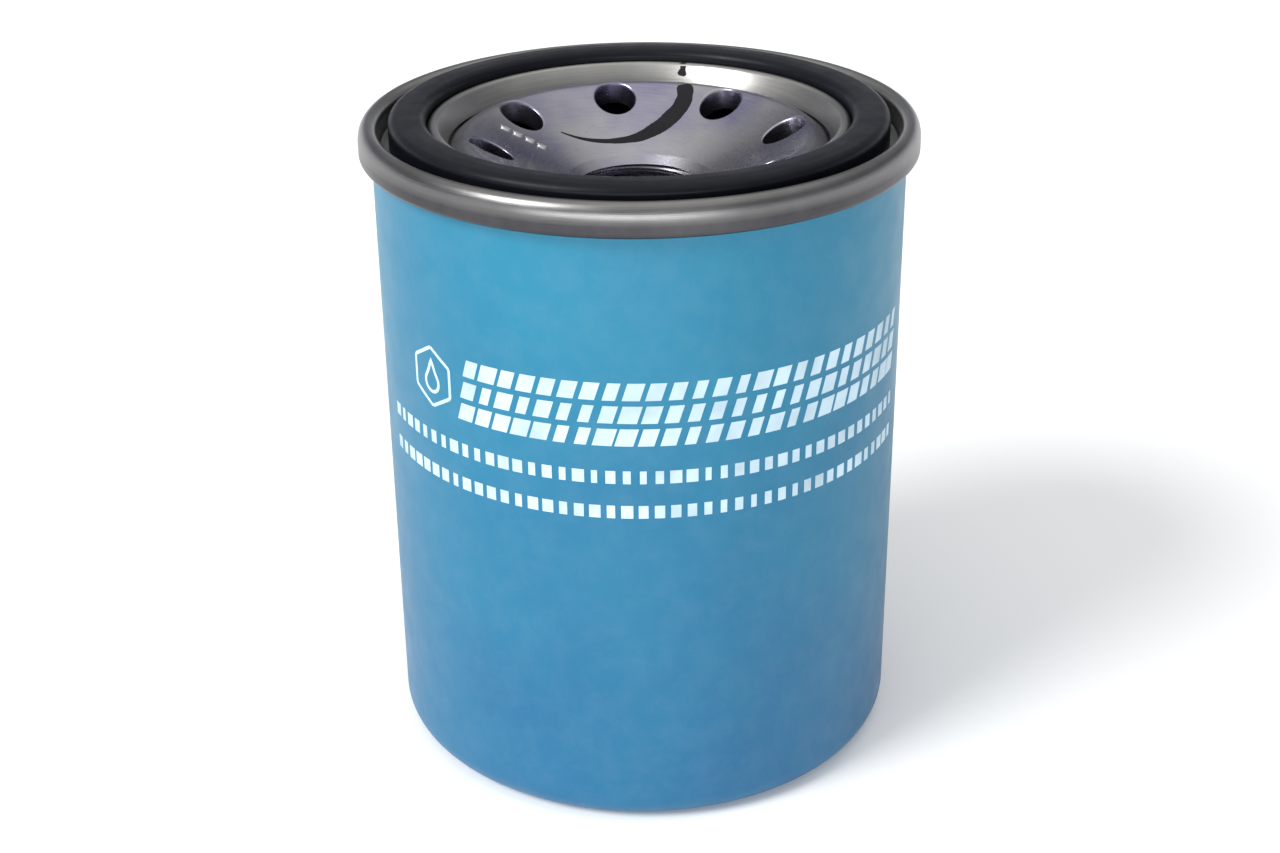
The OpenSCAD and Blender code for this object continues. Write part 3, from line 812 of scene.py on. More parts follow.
def mix_tin():
    """Tinned sheet steel: warm grey with rolling rings, stained spots, a nicked lower edge and
    painted shade on the seam's outer wall.
    """
    f = Finish("tinned_sheet", Metallic=1.0)
    t = f.tree
    height = place(t, "ShaderNodeSeparateXYZ", {0: f.where}).outputs["Z"]
    top, outer = high("seam_lid"), reach("seam_lid")
    rings = f.pattern("turned", Fineness=5200.0, Run=3.0)
    tin = rgb(finish().tin)
    tone = blend(t, ramp(t, rings["Tone"], 0.35, 0.68), rgb(tin, 0.80), rgb(tin, 1.12))
    edge = ramp(t, height, top - 5.2 * MM, top - 3.9 * MM, 1.0, 0.10)
    nicks = f.pattern("specks", Scale=620.0, Size=0.60, Where=edge)["Mask"]
    # Painted shade: the seam's outer wall is darkened, most on its lower part, standing in for the
    # dark surroundings it reflects.
    side = ramp(t, rings["Radius"], outer - 2.6 * MM, outer - 1 * MM, 0.0, 0.93)
    fall = ramp(t, height, top - 3 * MM, top - 1.5 * MM, 1.0, 0.55)
    tone = blend(t, calc(t, "MULTIPLY", side, fall), tone, (0.05, 0.048, 0.056))
    tone = blend(t, nicks, tone, (0.07, 0.055, 0.045))
    haze = f.pattern("dust", Scale=120.0, Amount=0.25)["Mask"]
    tone = blend(t, haze, tone, (0.36, 0.35, 0.35))
    f.feed(Base_Color=tone)
    f.feed(Roughness=calc(t, "ADD", ramp(t, rings["Tone"], 0.3, 0.7, 0.27, 0.38),
        calc(t, "MULTIPLY", nicks, 0.3)))
    f.bump(rings["Height"], 0.28, 0.05 * MM)


def mix_zinc():
    """Zinc plated plate: grey with a violet tint that drifts over it, part passivation tint and part
    painted violet reflection, and draw marks.
    """
    f = Finish("zinc_plate", Metallic=1.0)
    t = f.tree
    rings = f.pattern("turned", Fineness=2600.0, Run=9.0)
    drift = noise(t, f.where, 55.0, 3.0)
    zinc, tint = rgb(finish().zinc), rgb(finish().zinc_tint_and_reflection)
    # Violet patches over the grey: part passivation tint, part painted violet reflection.
    tone = blend(t, ramp(t, drift, 0.40, 0.66), zinc, tint)
    tone = blend(t, ramp(t, rings["Tone"], 0.4, 0.7, 0.0, 0.45), tone, rgb(zinc, 1.25))
    specks = f.pattern("specks", Scale=900.0, Size=0.30, Where=0.75)["Mask"]
    tone = blend(t, calc(t, "MULTIPLY", specks, 0.5), tone, (0.13, 0.12, 0.13))
    f.feed(Base_Color=tone)
    f.feed(Roughness=ramp(t, rings["Tone"], 0.3, 0.7, 0.22, 0.34))
    f.bump(rings["Height"], 0.30, 0.05 * MM)


def mix_rubber(name, colour, dust):
    """Moulded black rubber with a soft oily sheen and a trace of dust."""
    f = Finish(name, Specular_IOR_Level=0.16)
    t = f.tree
    grain = f.pattern("grain", Scale=2200.0)
    film = f.pattern("dust", Scale=300.0, Amount=dust)["Mask"]
    f.feed(Base_Color=blend(t, film, colour, (0.10, 0.10, 0.11)))
    f.feed(Roughness=calc(t, "ADD", ramp(t, grain["Tone"], 0.3, 0.7, 0.34, 0.46),
        calc(t, "MULTIPLY", film, 0.5)))
    f.bump(grain["Height"], 0.35, 0.05 * MM)


def mix_metal(name, colour, roughness, fineness, run):
    """Plain steel of the inner pieces."""
    f = Finish(name, Metallic=1.0)
    t = f.tree
    rings = f.pattern("turned", Fineness=fineness, Run=run)
    tone = blend(t, ramp(t, rings["Tone"], 0.35, 0.7), rgb(colour, 0.82), colour)
    oily = f.pattern("dust", Scale=110.0, Amount=0.4)["Mask"]
    f.feed(Base_Color=blend(t, oily, tone, rgb(colour, 0.55)))
    f.feed(Roughness=ramp(t, rings["Tone"], 0.3, 0.7, roughness, roughness + 0.14))
    f.bump(rings["Height"], 0.25, 0.05 * MM)


def mix_dull(name, colour, shade, roughness, scale):
    """Matte finish with a grain: paper, adhesive, sealing compound."""
    f = Finish(name)
    t = f.tree
    grain = f.pattern("grain", Scale=scale)
    f.feed(Base_Color=blend(t, ramp(t, grain["Tone"], 0.3, 0.7), colour, shade))
    f.feed(Roughness=ramp(t, grain["Tone"], 0.3, 0.7, roughness, roughness + 0.1))
    f.bump(grain["Height"], 0.5, 0.1 * MM)


def mix_ink(name, colour, roughness, worn):
    """Ink: a thin film, rubbed here and there."""
    f = Finish(name, Specular_IOR_Level=0.2)
    t = f.tree
    grain = f.pattern("grain", Scale=1100.0)
    f.feed(Base_Color=blend(t, ramp(t, grain["Tone"], 0.35, 0.75), colour, worn))
    f.feed(Roughness=ramp(t, grain["Tone"], 0.3, 0.7, roughness, roughness + 0.1))
    f.bump(grain["Height"], 0.2, 0.03 * MM)


class FILTER_OT_finishes(Operator):
    """Mixes every finish from the shared patterns"""

    bl_idname = "filter.finishes"
    bl_label = "Finishes"

    def execute(self, context):
        mix_enamel()
        mix_tin()
        mix_zinc()
        mix_rubber("gasket_black", rgb(finish().rubber), 0.03)
        mix_rubber("valve_black", (0.016, 0.016, 0.018), 0.1)
        # Paler steel for the raised marks on the funnel, so they read as bright lines.
        mix_metal("pale_mark_steel", (0.62, 0.61, 0.64), 0.30, 2600.0, 9.0)
        mix_metal("cap_sheet", (0.50, 0.51, 0.53), 0.30, 2400.0, 6.0)
        mix_metal("drawn_wire", (0.40, 0.41, 0.43), 0.26, 900.0, 1.0)
        mix_dull("folded_paper", (0.80, 0.68, 0.40), (0.70, 0.56, 0.30), 0.82, 1600.0)
        mix_dull("cured_adhesive", (0.55, 0.33, 0.14), (0.46, 0.26, 0.10), 0.45, 500.0)
        mix_dull("seam_sealer", (0.12, 0.12, 0.12), (0.09, 0.09, 0.09), 0.7, 900.0)
        white = rgb(finish().print_white)
        mix_ink("white_print", white, 0.45, rgb(white, 0.72))
        mix_ink("felt_pen", rgb(finish().pen), 0.5, (0.012, 0.012, 0.015))
        return {"FINISHED"}


# ---------------------------------------------------------------- can and lid


def seam_radii():
    """Middle radii of the seam's layers: chuck wall, can wall, lid hook, can hook, outer wall."""
    s = sizes()
    outer = reach("seam_lid") - s.sheet / 2
    return [outer - k * s.seam_layer for k in (4, 3, 2, 1, 0)]


class FILTER_OT_can(Operator):
    """Turns the drawn can with its dished closed end and the hook inside the seam"""

    bl_idname = "filter.can"
    bl_label = "Can"

    def execute(self, context):
        s = sizes()
        half = s.sheet / 2
        _, wall, _, hook, _ = seam_radii()
        corner = s.corner - half
        foot_in = wall + half - s.corner - s.foot_width
        panel = foot_in - 2 * s.foot_dish          # the foot's step falls at about 27 degrees
        bend = s.seam_layer
        bend_z = high("can") - bend - half
        floor_path = soften([
            (0, s.foot_dish + half), (0.45 * panel, s.foot_dish + half),
            (panel, s.foot_dish + half),
            (foot_in, half), (foot_in + 3 * MM, half)], [0, 0, 1.2 * MM, 1.2 * MM, 0], closed=False)
        path = floor_path + arc((wall - corner, half + corner), corner, -90, 0, 14)
        path += [(wall, z) for z in np.linspace(6 * MM, bend_z - 4 * MM, 10)]
        path += arc((wall + bend, bend_z), bend, 180, 0, 16)
        path += [(hook, low("seam_lid") + 1.1 * MM)]
        outline = sheet_outline(path, s.sheet)
        can = turned("can_shell", outline, "satin_enamel", 256)
        seat(can, "shell", "can_paint", "can")
        return {"FINISHED"}


def lid_path():
    """Middle of the lid's sheet, from its inner lip to the end of its hook."""
    s = sizes()
    half = s.sheet / 2
    chuck, _, lid_hook, _, outer = seam_radii()
    bend, fold = 0.7 * MM, s.seam_layer
    curl_rise = 3 * MM                 # height of the curl above the channel
    gasket_in = reach("gasket") - s.gasket_width
    curl = gasket_in - LIP_GAP - half
    channel = low("gasket") - half
    curl_z = low("gasket") + curl_rise - bend - half
    roll = (outer - chuck) / 2
    top_z = high("seam_lid") - roll - half
    foot_z = low("seam_lid") + fold + half
    widest = top_z - 0.95 * MM
    crown = high("seam_lid") - half - widest
    bulge = [(chuck + roll * (1 + math.cos(a)), widest + crown * math.sin(a)) for a in np.linspace(
        math.pi / 2, 0, 22)[1:]]
    return (
        [(curl - LIP_WIDTH, channel)]
        + arc((curl - bend, curl_z), bend, 135, 0, 12)
        + arc((curl + bend, channel + bend), bend, 180, 270, 10)
        + arc((chuck - bend, channel + bend), bend, -90, 0, 10)
        + arc((chuck + roll, top_z), roll, 180, 90, 14)
        + bulge
        + arc((outer - fold, foot_z), fold, 0, -180, 16)
        + [(lid_hook, high("can") - s.seam_layer - s.sheet)])


class FILTER_OT_lid(Operator):
    """Turns the lid with its lip, curl, gasket channel and rolled seam"""

    bl_idname = "filter.lid"
    bl_label = "Lid and seam"

    def execute(self, context):
        lid = turned("rolled_lid", sheet_outline(lid_path(), sizes().sheet), "tinned_sheet", 256)
        seat(lid, "shell", "lid_steel", "seam_lid")
        return {"FINISHED"}


class FILTER_OT_gasket(Operator):
    """Turns the moulded gasket in the lid's channel"""

    bl_idname = "filter.gasket"
    bl_label = "Gasket"

    def execute(self, context):
        s = sizes()
        outer, bottom, top = reach("gasket"), low("gasket"), high("gasket")
        inner = outer - s.gasket_width
        middle = (inner + outer) / 2
        side, foot = top - 0.06 * MM, 0.7 * MM     # the top is very slightly crowned
        profile = soften([
            (inner, bottom), (outer, bottom), (outer, side), (middle, top), (inner, side)],
            [foot, foot, s.gasket_round, 3 * MM, s.gasket_round], steps=10)
        gasket = turned("moulded_gasket", profile, "gasket_black", 256)
        seat(gasket, "shell", "gasket_rubber", "gasket")
        return {"FINISHED"}


class FILTER_OT_welds(Operator):
    """Spreads the weld nuggets in the lid's channel"""

    bl_idname = "filter.welds"
    bl_label = "Spot welds"

    def execute(self, context):
        bottom, top = low("lid_spot_welds"), high("lid_spot_welds")
        radius = 1.5 * MM
        nugget = turned("weld_nuggets", soften(
            [(0, bottom), (radius, bottom), (radius, top), (0, top)],
            [0, 0.1 * MM, 0.15 * MM, 0]), "zinc_plate", 24)
        for vertex in nugget.data.vertices:
            vertex.co.z -= bottom
        tree = geometry_tree("ring_of_copies", [
            ("Count", INTEGER, 6), ("Ring radius", FLOAT, 0.03), ("Height", FLOAT, 0.0)],
            build_ring_of)
        run_tree(nugget, tree, {
            "Count": sizes().weld_count, "Ring radius": reach("lid_spot_welds") - radius,
            "Height": bottom, "Material": bpy.data.materials["zinc_plate"]})
        seat(face_out(nugget), "shell", "plate_steel", "lid_spot_welds")
        return {"FINISHED"}


# ---------------------------------------------------------------- base plate


def plate_sections():
    """Top and bottom profiles of the base plate from the axis outwards, and its bore."""
    s = sizes()
    rim = reach("base_plate")
    top = low("gasket") - s.sheet
    bottom = top - s.plate
    fall = math.tan(FUNNEL_SLOPE)
    lip = reach("gasket") - s.gasket_width - LIP_GAP - s.sheet / 2 - LIP_WIDTH
    foot = lip - 0.4 * MM
    ridge_round, rise, slope = 1.8 * MM, 1.6 * MM, RIDGE_SLOPE
    ridge_z = top + rise - ridge_round
    ridge_r = foot - ridge_round * math.sin(slope) - (
        ridge_z + ridge_round * math.cos(slope) - top) / math.tan(slope)
    start = (ridge_r - ridge_round * math.sin(FUNNEL_SLOPE),
        ridge_z + ridge_round * math.cos(FUNNEL_SLOPE))
    mouth_z = start[1] - (start[0] - MOUTH_RADIUS) * fall
    bore = THREAD_RADIUS - THREAD_DEPTH * s.thread_pitch
    bore_top = mouth_z - (MOUTH_RADIUS - bore)
    eased_rim = rim - RIM_EASE
    top_side = soften([(bore, bore_top), (MOUTH_RADIUS, mouth_z), start], [0, 0.5 * MM, 0],
        closed=False, steps=8)
    top_side += arc(
        (ridge_r, ridge_z), ridge_round, 90 + math.degrees(FUNNEL_SLOPE),
        90 - math.degrees(RIDGE_SLOPE), 18)[1:]
    top_side += soften([top_side[-1], (foot, top), (eased_rim, top)], [0, 0.5 * MM, 0],
        closed=False)[1:]
    foot_line = start[1] - start[0] * fall - s.plate / math.cos(FUNNEL_SLOPE)
    shoulder_z = foot_line + SHOULDER_RADIUS * fall
    groove = (bottom - foot_line + foot * math.tan(slope)) / (math.tan(slope) + fall)
    neck_end = bore_top - s.thread_length
    under = soften([
        (bore, neck_end), (NECK_RADIUS, neck_end), (NECK_RADIUS, shoulder_z),
        (SHOULDER_RADIUS, shoulder_z),
        (groove, foot_line + groove * fall), (foot, bottom), (rim, bottom), (rim, top),
        (eased_rim, top)],
        [0, 0.3 * MM, 0.1 * MM, 0, 0.5 * MM, 0.5 * MM, RIM_EASE, RIM_EASE, 0], closed=False)
    return top_side, under, (bore, neck_end, bore_top)


def height_on(profile, radius):
    """Height of a profile at a radius, where it is a function of the radius."""
    p = np.array(profile)
    return np.interp(radius, p[:, 0], p[:, 1])


class FILTER_OT_base_plate(Operator):
    """Builds the pressed plate with its punched holes, rounded mouth and cut thread"""

    bl_idname = "filter.base_plate"
    bl_label = "Base plate"

    def execute(self, context):
        s = sizes()
        top_side, under, (bore, neck_end, bore_top) = plate_sections()
        segments = 256
        points, faces = [], []

        def add(grid, closed=False):
            """Adds a grid of points and joins its rows and columns."""
            grid = np.asarray(grid, float)
            rows, columns = grid.shape[:2]
            first = len(points)
            points.extend(map(tuple, grid.reshape(-1, 3)))
            for i in range(rows - 1):
                for j in range(columns if closed else columns - 1):
                    a, b = first + i * columns + j, first + i * columns + (j + 1) % columns
                    faces.append((a, b, b + columns, a + columns))

        def strip(profile, angles):
            """Adds the part of a profile's turning between two angles."""
            add([[(r * math.cos(a), r * math.sin(a), z) for r, z in profile] for a in angles])

        def spot(radius, profile):
            return (radius, float(height_on(profile, radius)))

        ridge = max(top_side, key=lambda p: p[1])
        ring = ridge[0] - 3.2 * MM                 # radius on which the inlet holes lie
        hole, margin = s.inlet / 2, 0.9 * MM
        near, far = ring - hole - margin, ring + hole + margin
        half_steps = 8                             # a hole's square spans twice as many segments
        around = np.linspace(0, TURN, segments + 1)

        # From the shoulder to the rim the underside has one height at each radius
        rim_edge = reach("base_plate") - RIM_EASE - 0.05 * MM
        side_top = low("gasket") - s.plate - s.sheet + 3 * MM
        flat_under = [p for p in under if SHOULDER_RADIUS <= p[0] <= rim_edge and p[1] < side_top]
        middle = 23 * MM
        levels = np.unique(np.concatenate([
            np.linspace(near, middle, 9), np.linspace(middle, far, 12)]))
        step = TURN / segments
        per_hole = segments // s.inlet_count

        top_in = [p for p in top_side if p[0] < near] + [spot(near, top_side)]
        top_out = [spot(far, top_side)] + [p for p in top_side if p[0] > far]
        k = next(i for i, p in enumerate(under) if p[0] > near and i > 2)
        under_in = under[:k] + [spot(near, flat_under)]
        m = next(i for i, p in enumerate(under) if p[0] > far and i > 2)
        under_out = [spot(far, flat_under)] + under[m:]
        strip(top_in, around)
        strip(top_out + under_out[::-1][1:], around)
        strip(under_in, around)

        def patch(centre_angle, profile, side):
            """The plate's face round one hole, from the strips' square edge to the hole."""
            a0 = centre_angle - half_steps * step
            a1 = centre_angle + half_steps * step
            arcs = np.linspace(a0, a1, 2 * half_steps + 1)
            edge = [(levels[0], a) for a in arcs] + [(r, a1) for r in levels[1:]]
            edge += [(levels[-1], a) for a in arcs[::-1][1:]]
            edge += [(r, a0) for r in levels[::-1][1:-1]]
            border = np.array([(r * math.cos(a), r * math.sin(a)) for r, a in edge])
            centre = np.array([ring * math.cos(centre_angle), ring * math.sin(centre_angle)])
            spokes = border - centre
            spokes /= np.linalg.norm(spokes, axis=1)[:, None]
            ease = 0.35 * MM if side > 0 else 0.25 * MM
            rim_at = centre + spokes * (hole + ease)
            rows = []
            for t in np.linspace(1, 0, 9) ** 1.25:
                flat = rim_at + (border - rim_at) * t
                z = height_on(profile, np.hypot(flat[:, 0], flat[:, 1]))
                rows.append(np.column_stack([flat, z]))
            for phi in np.radians(np.linspace(0, 90, 9)[1:]):
                flat = centre + spokes * (hole + ease * (1 - math.sin(phi)))
                z = height_on(profile, np.hypot(flat[:, 0], flat[:, 1]))
                z = z - side * ease * (1 - math.cos(phi))
                rows.append(np.column_stack([flat, z]))
            return rows

        for n in range(s.inlet_count):
            angle = TURN * n / s.inlet_count
            above, below = patch(angle, top_side, 1), patch(angle, flat_under, -1)
            walls = [above[-1] + (below[-1] - above[-1]) * t for t in (0, 0.25, 0.5, 0.75, 1)]
            add(above + walls[1:-1] + below[::-1], closed=True)
            between = np.linspace(angle + half_steps * step, angle + (per_hole - half_steps) * step,
                                  per_hole - 2 * half_steps + 1)
            for profile in (top_side, flat_under):
                strip([spot(r, profile) for r in levels], between)

        thread = start_piece("thread", [(0, 0, 0)])
        tree = geometry_tree("cut_thread", [
            ("Crest radius", FLOAT, 0.0092), ("Depth", FLOAT, 0.0008), ("Pitch", FLOAT, 0.0015),
            ("Bottom", FLOAT, 0.0), ("Length", FLOAT, 0.0086), ("Segments", INTEGER, 256)],
            build_thread)
        run_tree(thread, tree, {
            "Crest radius": bore, "Depth": THREAD_DEPTH * s.thread_pitch, "Pitch": s.thread_pitch,
            "Bottom": neck_end, "Length": bore_top - neck_end, "Segments": segments,
            "Material": bpy.data.materials["zinc_plate"]})
        first = len(points)
        points.extend(tuple(v.co) for v in thread.data.vertices)
        faces.extend(tuple(first + i for i in p.vertices) for p in thread.data.polygons)
        bpy.data.objects.remove(thread)
        plate = start_piece("pressed_plate", points, (), faces)
        paint(face_out(plate, recalculate=True), "zinc_plate")
        seat(plate, "shell", "plate_steel", "base_plate")
        return {"FINISHED"}


def strokes(name, runs, finish_name, put):
    """Raised strokes on a surface: each run is a list of (x, y, half width, rise).

    The function put turns (x, y, lift) into a place on that surface.
    """
    across = 7
    points, faces = [], []
    for run, closed in runs:
        line = np.array([p[:2] for p in run])
        ahead = np.roll(line, -1, 0) - np.roll(line, 1, 0)
        if not closed:
            ahead[0], ahead[-1] = line[1] - line[0], line[-1] - line[-2]
        ahead /= np.linalg.norm(ahead, axis=1)[:, None]
        side = np.column_stack([-ahead[:, 1], ahead[:, 0]])
        first, loop = len(points), 2 * (across - 1)
        for i, (_, _, half, rise) in enumerate(run):
            for j in range(loop):
                t = -1 + 2 * (j if j < across else loop - j) / (across - 1)
                x, y = line[i] + side[i] * half * t
                lift = rise * math.sqrt(max(0, 1 - t * t)) if j < across else 0
                points.append(put(x, y, lift - SINK))
        count = len(run)
        for i in range(count if closed else count - 1):
            for j in range(loop):
                here, ahead_row = first + i * loop, first + (i + 1) % count * loop
                a, b = here + j, here + (j + 1) % loop
                c, d = ahead_row + j, ahead_row + (j + 1) % loop
                faces.append((a, b, d, c))
        if not closed:
            faces.append(tuple(first + j for j in range(loop)))
            faces.append(tuple(first + (count - 1) * loop + j for j in range(loop))[::-1])
    piece = start_piece(name, points, (), faces)
    paint(face_out(piece, recalculate=True), finish_name)
    return piece


def on_profile(profile):
    """Places strokes on a turned surface, seen from above."""
    return lambda x, y, lift: (x, y, float(height_on(profile, math.hypot(x, y))) + lift)


def on_wall(radius, height, degrees):
    """Places strokes on the can's wall, round a point."""
    def put(x, y, lift):
        angle = math.radians(degrees) + x / radius
        return ((radius + lift) * math.cos(angle), (radius + lift) * math.sin(angle), height + y)
    return put


def on_lip(degrees):
    """Places strokes on the lid's inner lip, y being the way up from the lip's edge."""
    count = 14                         # the lip and its curl are the first points of the lid
    line = np.array(sheet_outline(lid_path()[:count + 1], sizes().sheet)[:count])
    along = np.concatenate([[0], np.cumsum(np.linalg.norm(np.diff(line, axis=0), axis=1))])
    ahead = np.gradient(line, axis=0)
    ahead /= np.linalg.norm(ahead, axis=1)[:, None]

    def put(x, y, lift):
        r, z, dr, dz = (float(np.interp(y, along, v)) for v in (*line.T, *ahead.T))
        angle = math.radians(degrees) + x / r
        r, z = r - dz * lift, z + dr * lift
        return (r * math.cos(angle), r * math.sin(angle), z)
    return put


def polar(radius, degrees):
    """The x and y of a point at a radius and an angle."""
    return radius * math.cos(math.radians(degrees)), radius * math.sin(math.radians(degrees))


class FILTER_OT_stamped_marks(Operator):
    """Raises a row of four plain round dots on the funnel"""

    bl_idname = "filter.stamped_marks"
    bl_label = "Stamped marks"

    def execute(self, context):
        top_side, _, _ = plate_sections()
        runs = []
        half, rise = 0.75 * MM, 0.3 * MM
        for radius, degrees in ((20.6, 151), (18.9, 149.5), (17.2, 148), (15.5, 146.5)):
            middle = Vector(polar(radius * MM, degrees))
            path = [
                (middle.x + half * t, middle.y, half * math.sqrt(1 - t * t), rise)
                for t in np.linspace(-0.98, 0.98, 11)]
            runs.append((path, False))
        # The raised dots are drawn in paler steel than the plate.
        marks = strokes("stamped_marks", runs, "pale_mark_steel", on_profile(top_side))
        seat(marks, "shell", "plate_steel")
        return {"FINISHED"}


class FILTER_OT_pen_stroke(Operator):
    """Lays the felt-pen stroke over the lid's lip and the funnel"""

    bl_idname = "filter.pen_stroke"
    bl_label = "Pen stroke"

    def execute(self, context):
        top_side, _, _ = plate_sections()
        # (radius, azimuth in degrees, half width) along the stroke, in millimetres
        stroke = [
            (24.0, 63.6, 1.1), (23.6, 63.2, 1.45), (22.5, 61.6, 1.6), (20.9, 61.1, 1.7),
            (19.3, 61.5, 1.75), (17.7, 63.9, 1.75), (16.1, 66.8, 1.65), (14.7, 72.7, 1.4),
            (13.5, 79.7, 1.05), (13.05, 89.6, 0.75),
            (13.1, 101.0, 0.55), (13.8, 112.2, 0.42), (14.9, 119.9, 0.32), (16.4, 125.2, 0.16)]
        line = np.array([(*polar(r * MM, a), w * MM) for r, a, w in stroke])
        where = np.linspace(0, len(line) - 1, 90)
        smooth = np.column_stack([np.interp(where, range(len(line)), line[:, k]) for k in range(3)])
        for _ in range(12):
            smooth[1:-1] = (smooth[:-2] + smooth[1:-1] * 2 + smooth[2:]) / 4
        rng = np.random.default_rng(7)             # a little unsteadiness in the stroke's width
        rough = np.convolve(rng.normal(0, 0.09, len(smooth) + 4), np.ones(5) / 5, "valid")
        run = [(x, y, w * (1 + q), FILM) for (x, y, w), q in zip(smooth, rough)]
        pen = strokes("pen_stroke", [(run, False)], "felt_pen", on_profile(top_side))
        seat(pen, "shell")
        # (sideways, way up the lip, half width) along the dab, in millimetres
        dab = [(x * MM, y * MM, w * MM, FILM) for x, y, w in (
            (0.1, 1.5, 0.5), (0.05, 1.8, 0.9), (0, 2.2, 0.75), (-0.05, 2.6, 0.5), (-0.05, 3.0, 0.6),
            (0, 3.5, 0.85), (0.05, 3.9, 0.5))]
        spot = strokes("pen_dab", [(dab, False)], "felt_pen", on_lip(66.3))
        seat(spot, "shell")
        return {"FINISHED"}


# ---------------------------------------------------------------- print on the can


def wall_radius():
    """Outer radius of the can's wall."""
    return seam_radii()[1] + sizes().sheet / 2


def flat_bar(name):
    """A thin bar of unit length and height, to be scaled along a row."""
    lift, count = 0.03 * MM, 5
    share = np.linspace(-0.5, 0.5, count)
    points = [(x, y, z) for z in (-lift, lift) for x in share for y in share]
    faces = []
    for i in range(count - 1):
        for j in range(count - 1):
            a = i * count + j
            quad = (a, a + count, a + count + 1, a + 1)
            faces += [quad[::-1], tuple(k + count * count for k in quad)]
    rim = [i * count for i in range(count)] + [count * (count - 1) + j for j in range(1, count)]
    rim += [i * count + count - 1 for i in range(count - 2, -1, -1)] + list(range(count - 2, 0, -1))
    for a, b in zip(rim, rim[1:] + rim[:1]):
        faces.append((a, b, b + count * count, a + count * count))
    return start_piece(name, points, (), faces)


def printed_row(name, start, height, count, pitch, shortest, longest, bar, slant, seed):
    """A printed row of bars on the can's wall. Start is in degrees."""
    tree = geometry_tree("printed_row", [
        ("Count", INTEGER, 10), ("Pitch", FLOAT, 0.002), ("Shortest", FLOAT, 0.001),
        ("Longest", FLOAT, 0.002),
        ("Bar height", FLOAT, 0.002), ("Slant", FLOAT, 0.3), ("Start angle", FLOAT, 0.0),
        ("Height", FLOAT, 0.05), ("Wall radius", FLOAT, 0.038), ("Seed", INTEGER, 1)],
        build_printed_row)
    row = flat_bar(name)
    run_tree(row, tree, {
        "Count": count, "Pitch": pitch, "Shortest": shortest, "Longest": longest, "Bar height": bar,
        "Slant": slant, "Start angle": math.radians(start), "Height": height,
        "Wall radius": wall_radius(), "Seed": seed,
        "Material": bpy.data.materials["white_print"]})
    seat(face_out(row, recalculate=True), "shell")
    return row


class FILTER_OT_print(Operator):
    """Prints a plain band of slanted bars, two rows of dashes and a drop in a hexagon on the can"""

    bl_idname = "filter.print"
    bl_label = "Printed band"

    def execute(self, context):
        for n, (start, height) in enumerate(((221.5, 62.1), (222.2, 65.4), (223.0, 68.7))):
            printed_row(
                f"print_band_{n}", start, height * MM, count=25, pitch=2.95 * MM, shortest=1.3 * MM,
                longest=2.7 * MM, bar=2.5 * MM, slant=0.32, seed=3 + n)
        for n, height in enumerate((51.0, 56.2)):
            printed_row(
                f"print_dashes_{n}", 194, height * MM, count=42, pitch=2.2 * MM, shortest=0.8 * MM,
                longest=1.8 * MM, bar=1.9 * MM, slant=0.0, seed=11 + n)
        line_half = 0.3 * MM
        hexagon = [Vector(polar(4.4 * MM, 60 * k + 30)) for k in range(6)]
        path = []
        for a, b in zip(hexagon, hexagon[1:] + hexagon[:1]):
            path += [a.lerp(b, t) for t in (0.05, 0.25, 0.5, 0.75, 0.95)]
        quarters = (0.25, 0.5, 0.75)
        drop = [(x, y - 0.8 * MM) for x, y in arc((0, 0), 1.45 * MM, 150, 390, 20)]
        drop += [(1.0 * MM * (1 - t), (0.2 + 2.3 * t) * MM) for t in quarters]
        drop += [(0.0, 2.6 * MM)] + [(-1.0 * MM * t, (2.5 - 2.3 * t) * MM) for t in quarters]
        runs = [([(x, y, line_half, FILM) for x, y in outline], True) for outline in (path, drop)]
        on_can = on_wall(wall_radius(), 65.4 * MM, 211)
        emblem = strokes("print_emblem", runs, "white_print", on_can)
        seat(emblem, "shell")
        return {"FINISHED"}


# ---------------------------------------------------------------- filter element


class FILTER_OT_drain_valve(Operator):
    """Turns the anti-drain valve, whose membrane bends between collar and lip"""

    bl_idname = "filter.drain_valve"
    bl_label = "Anti-drain valve"

    def execute(self, context):
        base, top, lip = low("drain_valve"), high("drain_valve"), reach("drain_valve")
        collar_in, collar, membrane = NECK_RADIUS + 0.1 * MM, SHOULDER_RADIUS, 1.1 * MM
        shoulder = low("base_plate") + 8.432 * MM  # just under the step outside the plate's neck
        lip_in, lip_z = lip - 1.2 * MM, top - 1 * MM
        profile = soften([
            (collar_in, base), (collar, base), (collar, shoulder - 2 * membrane),
            (lip, lip_z - membrane),
            (lip, top), (lip_in, top), (lip_in, lip_z), (collar, shoulder - membrane),
            (collar, shoulder), (collar_in, shoulder)],
            [r * MM for r in (0.2, 0.3, 0.5, 0.5, 0.3, 0.3, 0.3, 0.3, 0.2, 0.2)])
        valve = turned("drain_valve_rubber", profile, "valve_black", 128)
        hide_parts("drain_valve")
        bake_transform(valve)
        return {"FINISHED"}


class FILTER_OT_end_caps(Operator):
    """Turns both end caps and the adhesive that holds the pleats in them"""

    bl_idname = "filter.end_caps"
    bl_label = "End caps"

    def execute(self, context):
        for node, name, hole, up in (
                ("upper_end_cap", "upper_cap", 13.4 * MM, -1),
                ("lower_end_cap", "lower_cap", 8 * MM, 1)):
            outer = reach(node)
            face = high(node) if up < 0 else low(node)
            half, bend, skirt = CAP_SHEET / 2, 0.6 * MM, 3 * MM
            path = [(hole, half)]
            path += arc((outer - half - bend, half + bend), bend, -90, 0, 8)
            path += [(outer - half, skirt)]
            outline = [(r, face + up * h) for r, h in sheet_outline(path, CAP_SHEET)]
            seat(turned(name, outline, "cap_sheet", 160), "element", "cap_steel", node)
        for node, name in (("upper_potting", "upper_adhesive"),
            ("lower_potting", "lower_adhesive")):
            outline = ring_outline(reach(node), GLUE_RADIUS, low(node), high(node), 0.25 * MM)
            seat(turned(name, outline, "cured_adhesive", 128), "element", "adhesive", node)
        return {"FINISHED"}


